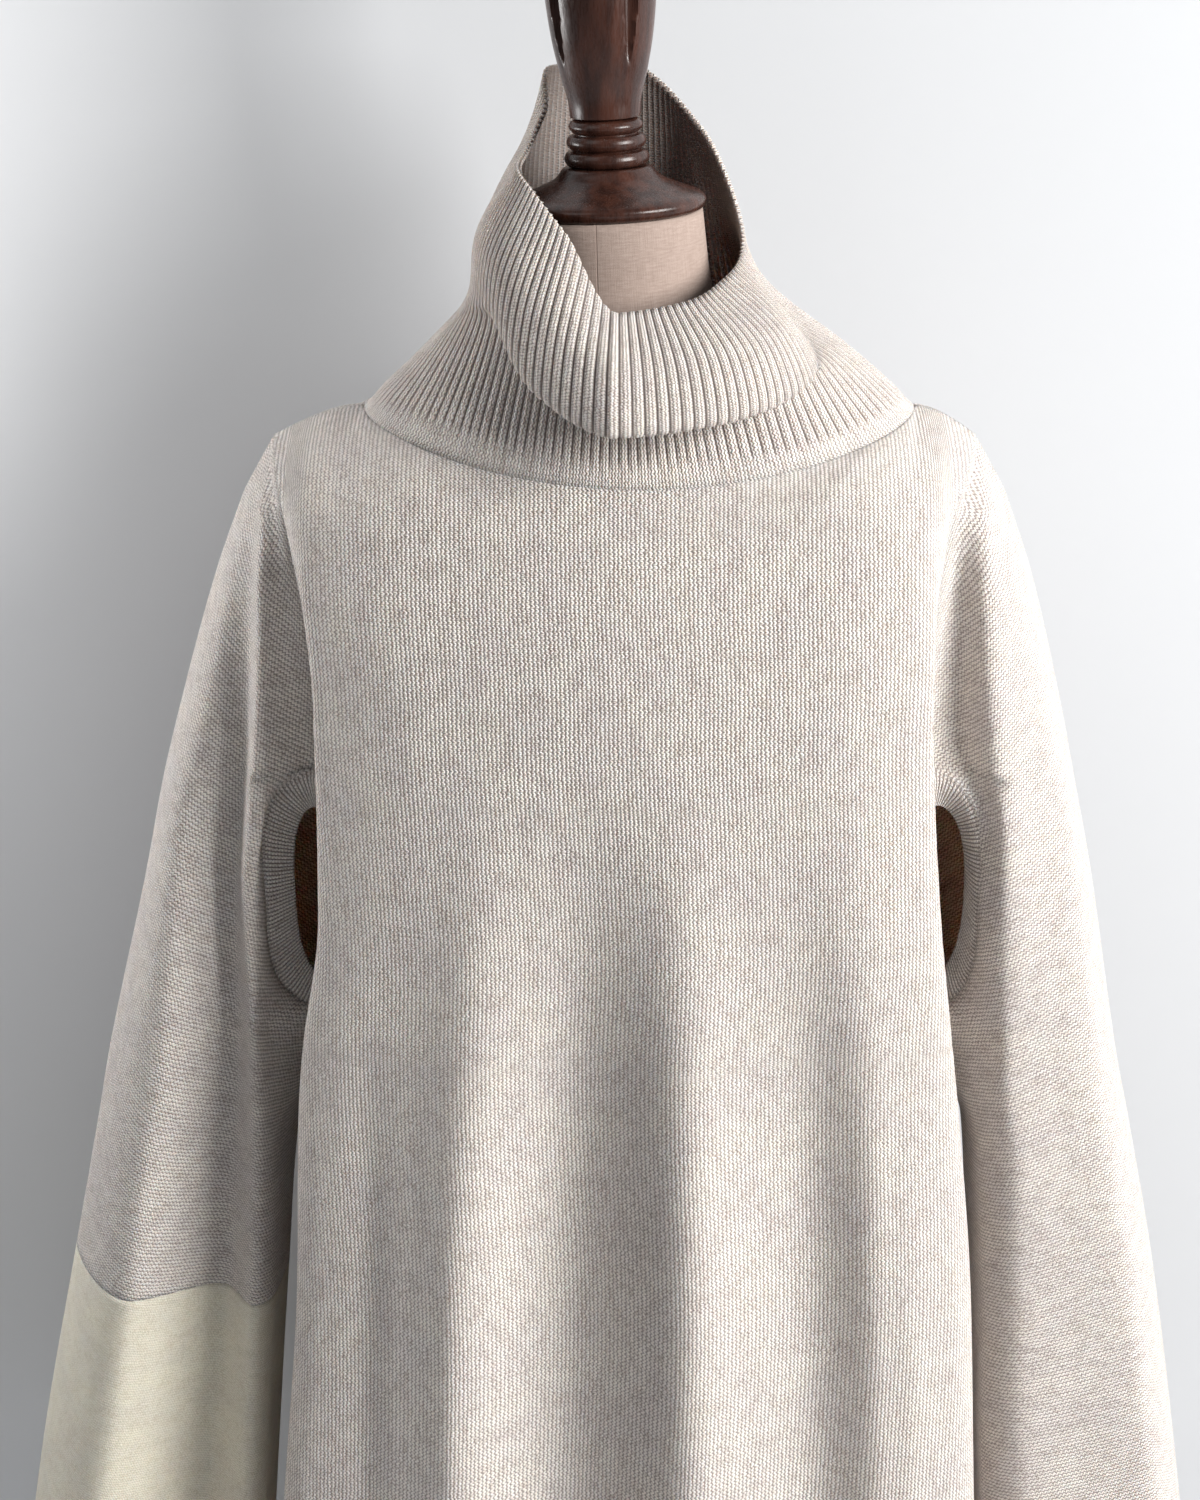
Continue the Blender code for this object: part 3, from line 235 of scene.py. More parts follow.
RIGHT_SLIT = Slit(4.1, -0.3, 2.5, 0.5)
LEFT_SLIT = Slit(3.5, -0.5, 2.9, 0.8)
BODY_CUT = 2.6
HOLE_CUT = 1.2
SEAM_EASE = 0.6
EASED_ABOVE_Z = -18.0
STRAIGHT_BELOW_Z = -28.0
SLIT_SQUARENESS = 3.0
SLIT_REACH = 0.5
BAND_WIDTH = 1.7


class CollarRow(NamedTuple):
    """The collar's profile at one bearing (degrees from the front, plus to the wearer's left).

    Each pair is a distance out from the form's middle and a height.
    """

    bearing: float
    neck: tuple[float, float]
    bulge: tuple[float, float]
    face: tuple[float, float]
    top: tuple[float, float]


COLLAR_ROWS = (
    CollarRow(-142.0, (7.8, 7.8), (7.2, 11.8), (6.8, 15.8), (6.1, 20.0)),
    CollarRow(-115.0, (9.2, 6.3), (7.6, 9.8), (7.0, 13.9), (4.5, 17.9)),
    CollarRow(-90.0, (10.6, 5.2), (8.1, 8.2), (7.5, 12.0), (5.0, 16.0)),
    CollarRow(-50.0, (9.3, 7.0), (9.4, 8.6), (8.9, 11.4), (6.6, 14.9)),
    CollarRow(-22.0, (9.0, 5.8), (11.6, 4.6), (10.7, 8.4), (7.5, 12.4)),
    CollarRow(0.0, (9.0, 4.6), (13.2, 2.9), (12.2, 6.0), (8.5, 8.5)),
    CollarRow(24.0, (9.6, 4.8), (13.3, 3.3), (12.2, 6.4), (8.3, 8.8)),
    CollarRow(50.0, (11.6, 4.6), (12.9, 4.4), (11.2, 7.2), (7.4, 9.6)),
    CollarRow(90.0, (12.9, 4.9), (9.2, 7.2), (7.4, 9.4), (6.9, 11.6)),
    CollarRow(135.0, (8.6, 7.2), (7.8, 10.4), (7.2, 13.6), (6.5, 16.8)),
    CollarRow(180.0, (7.0, 8.0), (6.8, 12.2), (6.7, 16.2), (6.5, 20.2)),
)


class TorsoRow(NamedTuple):
    """A level section of the form's torso."""

    z: float
    middle_x: float
    half_width: float
    front_y: float
    back_y: float


TORSO_ROWS = (
    TorsoRow(12.6, 0.0, 5.2, -5.2, 5.2),
    TorsoRow(9.0, 0.0, 5.5, -5.6, 5.6),
    TorsoRow(6.0, 0.1, 6.2, -6.2, 6.2),
    TorsoRow(4.0, 0.2, 8.0, -6.9, 6.9),
    TorsoRow(2.2, 0.3, 12.1, -7.7, 7.5),
    TorsoRow(0.92, 0.4, 16.6, -8.4, 8.1),
    TorsoRow(-0.9, 0.4, 18.6, -8.9, 8.6),
    TorsoRow(-3.0, 0.4, 18.3, -9.4, 9.1),
    TorsoRow(-7.0, 0.4, 16.8, -10.2, 9.7),
    TorsoRow(-13.0, 0.4, 15.1, -11.2, 10.2),
    TorsoRow(-20.0, 0.4, 14.6, -11.5, 9.9),
    TorsoRow(-29.0, 0.4, 12.9, -10.0, 8.8),
    TorsoRow(-38.0, 0.3, 11.6, -9.0, 8.2),
    TorsoRow(-47.0, 0.2, 14.0, -9.6, 9.6),
    TorsoRow(-56.0, 0.1, 15.8, -10.2, 11.0),
    TorsoRow(-66.0, 0.0, 15.2, -9.8, 10.6),
)
NECK_LEAN = math.radians(-2.3)
LEAN_ONSET = 6.0

Profile = tuple[tuple[float, float], ...]
PLATE_PROFILE: Profile = (
    (0.0, 15.1), (2.3, 15.1), (2.9, 14.5), (4.1, 13.9), (5.2, 13.45), (5.42, 13.15),
    (5.3, 12.8), (5.0, 12.63), (0.0, 12.63))
BEADS_PROFILE: Profile = (
    (0.0, 17.7), (1.6, 17.7), (1.87, 17.6), (2.05, 17.3), (1.87, 17.0), (1.72, 16.88),
    (2.05, 16.78), (2.2, 16.45), (2.05, 16.12), (1.85, 16.0), (2.2, 15.9), (2.35, 15.55),
    (2.2, 15.22), (2.0, 15.13), (0.0, 15.13))
FINIAL_PROFILE: Profile = (
    (0.0, 38.1), (0.8, 37.9), (1.6, 36.9), (2.4, 34.8), (2.9, 32.2), (3.15, 29.4),
    (3.2, 26.8), (3.05, 24.4), (2.8, 22.2), (2.4, 20.2), (2.0, 18.6), (1.9, 17.73),
    (0.0, 17.73))
SOCKET_PROFILE: Profile = (
    (0.0, -66.03), (4.6, -66.03), (4.8, -66.3), (4.6, -66.7), (2.6, -67.4), (2.1, -68.6),
    (0.0, -68.6))
POLE_PROFILE: Profile = ((0.0, -68.63), (1.3, -68.63), (1.3, -126.77), (0.0, -126.77))
BASE_PROFILE: Profile = (
    (0.0, -126.8), (1.9, -126.8), (2.2, -127.1), (2.2, -128.6), (3.0, -129.3),
    (9.0, -129.7), (15.8, -130.1), (16.7, -130.5), (17.0, -131.1), (16.8, -131.8),
    (16.5, -132.0), (0.0, -132.0))
GROOVE_BEARINGS = (-57.0, 33.0, 123.0, 213.0)
GROOVE_CENTRE_Z = 28.4
GROOVE_HALF = (0.55, 0.6, 7.6)
GROOVE_OUT = 3.25


# ------------------------------------------------------------------ curves through tables


def slopes(steps: np.ndarray, values: np.ndarray) -> np.ndarray:
    """Slopes of a monotone cubic: none where a value turns back, a harmonic mean elsewhere.

    Args:
        steps: the distance between neighbouring places, as a column.
        values: one row of values for each place.

    Returns:
        One row of slopes for each place.
    """
    rise = np.diff(values, axis=0) / steps
    inner = np.zeros_like(rise[1:])
    product = rise[:-1] * rise[1:]
    np.divide(2.0 * product, rise[:-1] + rise[1:], out=inner, where=product > 0.0)
    return np.concatenate((rise[:1], inner, rise[-1:]))


def smooth(places: np.ndarray, values: np.ndarray, at: np.ndarray) -> np.ndarray:
    """Read a smooth curve through values at rising places: a cubic between neighbours.

    Args:
        places: where the values stand, rising.
        values: a number or a point for each place.
        at: where to read the curve; past its ends it keeps its end value.

    Returns:
        A number or a point for each entry of at.
    """
    places = np.asarray(places, float)
    values = np.asarray(values, float)
    points = values if values.ndim > 1 else values[:, None]
    steps = np.diff(places)[:, None]
    ends = slopes(steps, points)
    at = np.clip(np.atleast_1d(at), places[0], places[-1])
    k = np.clip(np.searchsorted(places, at) - 1, 0, len(places) - 2)
    h = steps[k]
    t = (at[:, None] - places[k][:, None]) / h
    out = (points[k] * (1 + 2 * t) * (1 - t) ** 2 + ends[k] * h * t * (1 - t) ** 2
           + points[k + 1] * t * t * (3 - 2 * t) - ends[k + 1] * h * t * t * (1 - t))
    return out if values.ndim > 1 else out[:, 0]


def rounded(controls: np.ndarray, at: np.ndarray) -> np.ndarray:
    """Read round curves, with no corners, each through its evenly stepped controls.

    Args:
        controls: one list of control points for each curve.
        at: the shares of a curve at which it is read.

    Returns:
        For each entry of at, one point of every curve.
    """
    ways = np.gradient(controls, axis=1)
    places = at * (controls.shape[1] - 1)
    k = np.minimum(places.astype(int), controls.shape[1] - 2)
    t = (places - k)[:, None, None]
    here, after = controls[:, k].swapaxes(0, 1), controls[:, k + 1].swapaxes(0, 1)
    way_here, way_after = ways[:, k].swapaxes(0, 1), ways[:, k + 1].swapaxes(0, 1)
    return (here * (1 + 2 * t) * (1 - t) ** 2 + way_here * t * (1 - t) ** 2
            + after * t * t * (3 - 2 * t) - way_after * t * t * (1 - t))


def lengths(points: np.ndarray) -> np.ndarray:
    """Running length along a list of points."""
    return np.concatenate(([0.0], np.cumsum(np.linalg.norm(np.diff(points, axis=0), axis=1))))


def along(controls: np.ndarray, shares: np.ndarray, samples: int = 240) -> np.ndarray:
    """Points at the given shares of the length of a smooth curve through the controls."""
    run = lengths(controls)
    dense = smooth(run, controls, np.linspace(0.0, run[-1], samples))
    travelled = lengths(dense)
    at = np.asarray(shares) * travelled[-1]
    return np.stack([np.interp(at, travelled, dense[:, k]) for k in range(dense.shape[1])], 1)


def read_rows(rows: tuple, z: np.ndarray) -> np.ndarray:
    """A table's numbers at heights z, one row for each height."""
    heights = [-row.z for row in rows]
    values = np.array([np.hstack(row[1:]) for row in rows])
    return smooth(heights, values, -np.atleast_1d(z))


def body_columns(*names: str) -> list[int]:
    """The places of named columns among the numbers read from a body table."""
    return [BodyRow._fields.index(name) - 1 for name in names]


def unit(ways: np.ndarray) -> np.ndarray:
    """Directions at unit length."""
    ways = np.asarray(ways, float)
    return ways / np.linalg.norm(ways, axis=-1, keepdims=True)


def blurred(values: np.ndarray, reach: float) -> np.ndarray:
    """Values along a line, each a mean of its neighbours under a bell that wide."""
    half = int(3.0 * reach)
    bell = np.exp(-0.5 * (np.arange(-half, half + 1) / reach) ** 2)
    steps = np.arange(1, half + 1)
    start = 2.0 * values[0] - values[steps][::-1]
    end = 2.0 * values[-1] - values[-1 - steps]
    return np.convolve(np.concatenate((start, values, end)), bell / bell.sum(), "valid")


def ramp(value: np.ndarray, start: float, end: float) -> np.ndarray:
    """Rise smoothly from nothing at start to one at end."""
    t = np.clip((value - start) / (end - start), 0.0, 1.0)
    return t * t * (3.0 - 2.0 * t)


def slit_rise(z: np.ndarray) -> np.ndarray:
    """A slit's squarish oval: nothing at its ends and past them, one at mid height."""
    share = (z - SLIT_TOP) / (SLIT_BOTTOM - SLIT_TOP)
    return np.sqrt(np.maximum(0.0, 1.0 - np.abs(2.0 * share - 1.0) ** SLIT_SQUARENESS))


# ------------------------------------------------------------------ surfaces and meshes


@dataclass
class Surface:
    """A grid of points in centimetres, with a place on the flat cloth, in metres, for each.

    A closed surface comes round to its first column; its flat places have one column more,
    because the cloth's pattern doesn't.
    """

    points: np.ndarray
    flat: np.ndarray
    closed: bool = False
    flipped: bool = False

    def metres(self) -> np.ndarray:
        """The points in the frame's metres."""
        return self.points * CM + (0.0, 0.0, TIP_HEIGHT)

    def faces(self, columns: int) -> np.ndarray:
        """Corner numbers of the quads of a grid that is columns wide.

        Args:
            columns: how many columns the numbers run over, wrapped where the grid has fewer.

        Returns:
            One row of four corners for each quad.
        """
        rows, across = self.points.shape[0], self.points.shape[1]
        quads = across if self.closed else across - 1
        row, column = np.meshgrid(np.arange(rows - 1), np.arange(quads), indexing="ij")
        after = (column + 1) % columns
        corners = [row * columns + column, (row + 1) * columns + column,
                   (row + 1) * columns + after, row * columns + after]
        if self.flipped:
            corners.reverse()
        return np.stack(corners, -1).reshape(-1, 4)

    def mesh(self, name: str) -> bpy.types.Mesh:
        """Make the mesh, smooth, with its flat places as the map named cloth."""
        mesh = bpy.data.meshes.new(name)
        faces = self.faces(self.points.shape[1])
        mesh.from_pydata(self.metres().reshape(-1, 3), [], faces)
        places = self.flat.reshape(-1, 2)[self.faces(self.flat.shape[1]).ravel()]
        layer = mesh.uv_layers.new(name="cloth")
        layer.data.foreach_set("uv", places.astype(np.float32).ravel())
        mesh.shade_smooth()
        return mesh


def add_piece(name: str, mesh: bpy.types.Mesh, finish: bpy.types.Material,
              node: str) -> bpy.types.Object:
    """Put a finished piece in the scene in place of its CAD node.

    Args:
        name: the piece's name.
        mesh: its mesh, in place.
        finish: its material.
        node: the CAD node that it stands for.

    Returns:
        The new object, which rides on the root body.
    """
    mesh.materials.append(finish)
    piece = bpy.data.objects.new(name, mesh)
    bpy.context.scene.collection.objects.link(piece)
    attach(piece, "root")
    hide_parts(node)
    LOG.info("%s: %d faces, %s", name, len(mesh.polygons), finish.name)
    return piece


def thicken(piece: bpy.types.Object) -> bpy.types.Object:
    """Give a cloth piece the thickness of its knit, inwards, so that outer faces meet at seams."""
    wall = piece.modifiers.new("knit wall", "SOLIDIFY")
    wall.thickness = KNIT
    wall.offset = -1.0
    return piece


# ------------------------------------------------------------------ material graphs


class Graph:
    """Adds nodes to a node tree and joins them up."""

    def __init__(self, tree: bpy.types.NodeTree) -> None:
        """Work on a tree."""
        self.tree = tree

    def node(self, kind: str, inputs: dict | None = None, **settings: object) -> bpy.types.Node:
        """Add a node, set its own settings and fill or join its inputs.

        Args:
            kind: the node's type without its ShaderNode prefix.
            inputs: a value or a socket for each input, by name or number.
            settings: values of the node's properties.

        Returns:
            The new node.
        """
        made = self.tree.nodes.new(kind if kind.startswith("Node") else "ShaderNode" + kind)
        for key, value in settings.items():
            setattr(made, key, value)
        self.fill(made, inputs or {})
        return made

    def fill(self, node: bpy.types.Node, inputs: dict) -> None:
        """Join each of a node's inputs to a socket, or set its value."""
        for key, value in inputs.items():
            socket = node.inputs[key]
            if isinstance(value, bpy.types.NodeSocket):
                self.tree.links.new(value, socket)
            else:
                socket.default_value = value

    def math(self, operation: str, *terms: object) -> bpy.types.NodeSocket:
        """A number worked out from numbers or sockets."""
        return self.node("Math", dict(enumerate(terms)), operation=operation).outputs[0]

    def shade(self, factor: object, low: object, high: object,
              blend: str = "MIX") -> bpy.types.NodeSocket:
        """A colour between two colours, or one blended with the other."""
        inputs = {0: factor, 6: low, 7: high}
        made = self.node("Mix", inputs, data_type="RGBA", blend_type=blend)
        return made.outputs[2]

    def remap(self, value: object, low: float, high: float,
              to: tuple[float, float] = (0.0, 1.0)) -> bpy.types.NodeSocket:
        """A number moved smoothly from one range to another."""
        inputs = {0: value, 1: low, 2: high, 3: to[0], 4: to[1]}
        return self.node("MapRange", inputs, interpolation_type="SMOOTHSTEP").outputs[0]

    def noise(self, place: object, scale: float, detail: float = 2.0,
              rough: float = 0.5) -> bpy.types.NodeSocket:
        """Smooth noise with so many lumps to a metre."""
        inputs = {"Vector": place, "Scale": scale, "Detail": detail, "Roughness": rough}
        return self.node("TexNoise", inputs).outputs["Fac"]

    def stretched(self, place: object, across: float, lengthways: float) -> bpy.types.NodeSocket:
        """A place scaled by its own amounts across and along the cloth."""
        inputs = {0: place, 1: (across, lengthways, 1.0)}
        return self.node("VectorMath", inputs, operation="MULTIPLY").outputs[0]


def start_material(name: str) -> tuple[bpy.types.Material, Graph, bpy.types.Node]:
    """Start a material, and give it with its graph and its shader."""
    made = bpy.data.materials.new(name)
    made.use_nodes = True
    graph = Graph(made.node_tree)
    return made, graph, graph.tree.nodes["Principled BSDF"]


def start_group(name: str, takes: dict[str, str], gives: dict[str, str]) -> tuple:
    """Start a node group with named inputs and outputs.

    Args:
        name: the group's name.
        takes: each input's name and its kind of socket.
        gives: each output's name and its kind of socket.

    Returns:
        The group, its graph, its input node and its output node.
    """
    group = bpy.data.node_groups.new(name, "ShaderNodeTree")
    for way, sockets in (("INPUT", takes), ("OUTPUT", gives)):
        for title, kind in sockets.items():
            group.interface.new_socket(title, in_out=way, socket_type="NodeSocket" + kind)
    graph = Graph(group)
    return group, graph, graph.node("NodeGroupInput"), graph.node("NodeGroupOutput")


def stitch_group() -> bpy.types.NodeTree:
    """Plain knit as it looks from afar: columns of stitches whose legs zigzag down them.

    The place wanders a little first, so that no two stitches are quite alike. A column's
    middle swings by nearly half its width to one side and back over each course. The height
    is a round bump across the column, a little lower at each turn of the zigzag.
    """
    group, g, taken, given = start_group(
        "knit stitches", {"Place": "Vector", "Columns": "Float", "Courses": "Float"},
        {"Height": "Float", "Hollow": "Float"})
    lumps = {"Vector": taken.outputs["Place"], "Scale": 230.0, "Detail": 1.0}
    drawn = g.node("TexNoise", lumps).outputs["Color"]
    drawn = g.node("VectorMath", {0: drawn, 1: (0.5, 0.5, 0.5)}, operation="SUBTRACT").outputs[0]
    inputs = {0: drawn, 1: (0.0016, 0.0016, 0.0), 2: taken.outputs["Place"]}
    wandered = g.node("VectorMath", inputs, operation="MULTIPLY_ADD").outputs[0]
    split = g.node("SeparateXYZ", {0: wandered})
    column = g.math("MULTIPLY", split.outputs[0], taken.outputs["Columns"])
    course = g.math("MULTIPLY", split.outputs[1], taken.outputs["Courses"])
    swing = g.math("PINGPONG", course, 0.5)
    column = g.math("MULTIPLY_ADD", swing, 0.9, column)
    aside = g.math("ABSOLUTE", g.math("MULTIPLY_ADD", g.math("FRACT", column), 2.0, -1.0))
    bump = g.math("SUBTRACT", 1.0, g.math("POWER", aside, 1.7))
    turning = g.math("ABSOLUTE", g.math("MULTIPLY_ADD", swing, 4.0, -1.0))
    leg = g.remap(turning, 1.0, 0.35, (0.72, 1.0))
    height = g.math("MULTIPLY", bump, leg)
    # painted shade: this mask marks the hollows between stitches, where the colour is darkened
    g.fill(given, {"Height": height, "Hollow": g.remap(height, 0.78, 0.1)})
    return group


def melange_group() -> bpy.types.NodeTree:
    """Heathered yarn: fibres of three shades in streaks along the rows, in drifts of tone."""
    group, g, taken, given = start_group(
        "melange yarn", {"Place": "Vector", "Light": "Color", "Middle": "Color", "Dark": "Color"},
        {"Color": "Color", "Fibres": "Float"})
    place = taken.outputs["Place"]
    clumps = g.noise(g.stretched(place, 1.0, 0.7), 120.0, 2.0)
    streaks = g.noise(g.stretched(place, 0.5, 1.0), 620.0, 3.0, 0.65)
    streaks = g.math("MULTIPLY_ADD", clumps, 0.45, streaks)
    tufts = g.noise(g.stretched(place, 0.55, 1.0), 1500.0, 2.0, 0.6)
    drift = g.noise(g.stretched(place, 1.0, 0.6), 38.0, 2.0)
    mixed = g.shade(g.remap(streaks, 0.58, 0.8), taken.outputs["Dark"], taken.outputs["Middle"])
    mixed = g.shade(g.remap(tufts, 0.48, 0.66), mixed, taken.outputs["Light"])
    warmth = g.shade(g.remap(drift, 0.3, 0.7), (0.95, 0.94, 0.945, 1.0), (1.03, 1.02, 0.99, 1.0))
    g.fill(given, {"Color": g.shade(1.0, mixed, warmth, "MULTIPLY"), "Fibres": tufts})
    return group


Colour = tuple[float, float, float]


@dataclass(frozen=True)
class KnitFinish:
    """A knit: its three fibre shades, the painted shade of its hollows and how strongly it is mixed
    in, and the size of a stitch.

    A ribbed knit has a rib pitch across the cloth and starts its ribs at a place down it.
    """

    name: str
    light: Colour
    middle: Colour
    dark: Colour
    hollow: Colour
    painted_shade_share: float = 0.8
    column: float = STITCH
    course: float = 0.0024
    relief: float = 0.0008
    sheen: float = 0.25
    rib_pitch: float = 0.0
    rib_start: float = 0.0

    def build(self, stitches: bpy.types.NodeTree, yarn: bpy.types.NodeTree) -> bpy.types.Material:
        """Make the material.

        Args:
            stitches: the group that draws the stitches.
            yarn: the group that colours the yarn.

        Returns:
            A material that follows the piece's map of flat places.
        """
        made, g, shader = start_material(self.name)
        place = g.node("UVMap", uv_map="cloth").outputs[0]
        knit = g.node("Group", node_tree=stitches)
        g.fill(knit, {"Place": place, "Columns": 1.0 / self.column, "Courses": 1.0 / self.course})
        colour = g.node("Group", node_tree=yarn)
        g.fill(colour, {"Place": place, "Light": (*self.light, 1.0),
                        "Middle": (*self.middle, 1.0), "Dark": (*self.dark, 1.0)})
        # painted shade: the colour is darkened in the hollows between stitches and in the grooves
        # between ribs
        depth = g.math("MULTIPLY", knit.outputs["Hollow"], self.painted_shade_share)
        if self.rib_pitch:
            depth = g.math("MAXIMUM", depth, self.painted_groove_shade(g, place))
        base = g.shade(depth, colour.outputs["Color"], (*self.hollow, 1.0))
        height = g.math("MULTIPLY_ADD", colour.outputs["Fibres"], 0.35, knit.outputs["Height"])
        bump = g.node("Bump", {"Strength": 0.9, "Distance": self.relief, "Height": height})
        g.fill(shader, {
            "Base Color": base, "Normal": bump.outputs[0], "Roughness": 0.92,
            "Specular IOR Level": 0.2, "Sheen Weight": self.sheen, "Sheen Roughness": 0.45,
            "Sheen Tint": (*self.light, 1.0), "Subsurface Weight": 0.3,
            "Subsurface Radius": (1.0, 0.6, 0.4), "Subsurface Scale": 0.007})
        return made

    def painted_groove_shade(self, g: Graph, place: bpy.types.NodeSocket) -> bpy.types.NodeSocket:
        """Painted shade in the grooves between ribs: darkest at their middle, none on the ribs."""
        split = g.node("SeparateXYZ", {0: place})
        phase = g.math("FRACT", g.math("DIVIDE", split.outputs[0], self.rib_pitch))
        aside = g.math("ABSOLUTE", g.math("MULTIPLY_ADD", phase, 2.0, -1.0))
        groove_shade = g.remap(aside, 0.6, 0.95, (0.0, 0.92))
        if not self.rib_start:
            return groove_shade
        started = g.remap(split.outputs[1], 0.7 * self.rib_start, 1.2 * self.rib_start)
        return g.math("MULTIPLY", groove_shade, started)


@dataclass(frozen=True)
class LinenFinish:
    """A plain woven linen: its thread shades and pitch, and how far across its seam is."""

    name: str
    light: Colour
    dark: Colour
    thread: float = 0.0011
    seam: float = 0.686

    def build(self) -> bpy.types.Material:
        """Make the material: threads over and under, slubs along them, and one sunk seam."""
        made, g, shader = start_material(self.name)
        place = g.node("UVMap", uv_map="cloth").outputs[0]
        split = g.node("SeparateXYZ", {0: place})
        waves = [g.math("SINE", g.math("MULTIPLY", split.outputs[k], math.tau / self.thread))
                 for k in (0, 1)]
        weave = g.math("MULTIPLY", *waves)
        warp = g.noise(g.stretched(place, 1.0, 0.06), 900.0, 2.0)
        weft = g.noise(g.stretched(place, 0.06, 1.0), 900.0, 2.0)
        slub = g.math("ADD", warp, weft)
        height = g.math("MULTIPLY_ADD", weave, 0.3, slub)
        off = g.math("ABSOLUTE", g.math("SUBTRACT", split.outputs[0], self.seam))
        sewn = g.remap(off, 0.0016, 0.0003)
        height = g.math("SUBTRACT", height, sewn)
        base = g.shade(g.remap(height, 0.6, 1.4), (*self.dark, 1.0), (*self.light, 1.0))
        bump = g.node("Bump", {"Strength": 0.6, "Distance": 0.0004, "Height": height})
        g.fill(shader, {"Base Color": base, "Normal": bump.outputs[0], "Roughness": 0.85,
                        "Specular IOR Level": 0.25})
        return made


@dataclass(frozen=True)
class WoodFinish:
    """A dark stained hardwood under varnish: its light and dark grain."""

    name: str
    light: Colour
    dark: Colour

    def build(self) -> bpy.types.Material:
        """Make the material: long wavering grain up the wood, with fine pores."""
        made, g, shader = start_material(self.name)
        place = g.node("TexCoord").outputs["Object"]
        tall = g.node("VectorMath", {0: place, 1: (1.0, 1.0, 0.09)}, operation="MULTIPLY").outputs[0]
        grain = g.noise(tall, 130.0, 5.0, 0.6)
        pores = g.noise(tall, 900.0, 2.0, 0.7)
        base = g.shade(g.remap(grain, 0.35, 0.7), (*self.dark, 1.0), (*self.light, 1.0))
        bump = g.node("Bump", {"Strength": 0.25, "Distance": 0.0004, "Height": pores})
        g.fill(shader, {
            "Base Color": base, "Normal": bump.outputs[0],
            "Roughness": g.remap(pores, 0.4, 0.7, (0.26, 0.42)),
            "Specular IOR Level": 0.35, "Coat Weight": 0.12, "Coat Roughness": 0.2})
        return made


# ------------------------------------------------------------------ the dress


class Side(Enum):
    """The wearer's sides, each with the sign of its x."""

    RIGHT = -1
    LEFT = 1

    @property
    def column(self) -> int:
        """The body column that is this side's seam."""
        return 0 if self is Side.RIGHT else -1

    @property
    def word(self) -> str:
        """The side as a word of a node's name."""
        return self.name.lower()


@dataclass(frozen=True)
class Crease:
    """A soft trough or ridge down a piece, from a head to a foot, with a push at its middle.

    The places are (x, z) on a body panel; bow bends the line aside at its middle.
    """

    head: tuple[float, float]
    foot: tuple[float, float]
    half_width: float
    push: float
    bow: float = 0.0

    def pushed(self, across: np.ndarray, z: np.ndarray) -> np.ndarray:
        """How far the crease lifts the cloth at each place.

        The push is a bell across the line; along it, it swells from nothing at the head
        and falls to nothing at the foot.
        """
        t = np.clip((z - self.head[1]) / (self.foot[1] - self.head[1]), 0.0, 1.0)
        line = self.head[0] + (self.foot[0] - self.head[0]) * t + self.bow * 4.0 * t * (1.0 - t)
        bell = np.exp(-((across - line) / self.half_width) ** 2)
        return self.push * bell * np.sin(np.pi * t) ** 0.8


class Half(Enum):
    """The body's halves, each with its node's name and the way that it faces in y."""

    FRONT = ("front", -1.0)
    BACK = ("back", 1.0)

    @property
    def node(self) -> str:
        """The name of the half's CAD node."""
        return self.value[0]

    @property
    def outward(self) -> float:
        """The way out of the dress in y."""
        return self.value[1]


YOKE_BLUR = 9.0
YOKE_ARCH = 5.0
YOKE_PULL = ((0.5, 0.0), (0.55, 0.3), (0.5, -0.35))
SPREAD = 0.09
SPREAD_Z = (-26.0, 2.0)


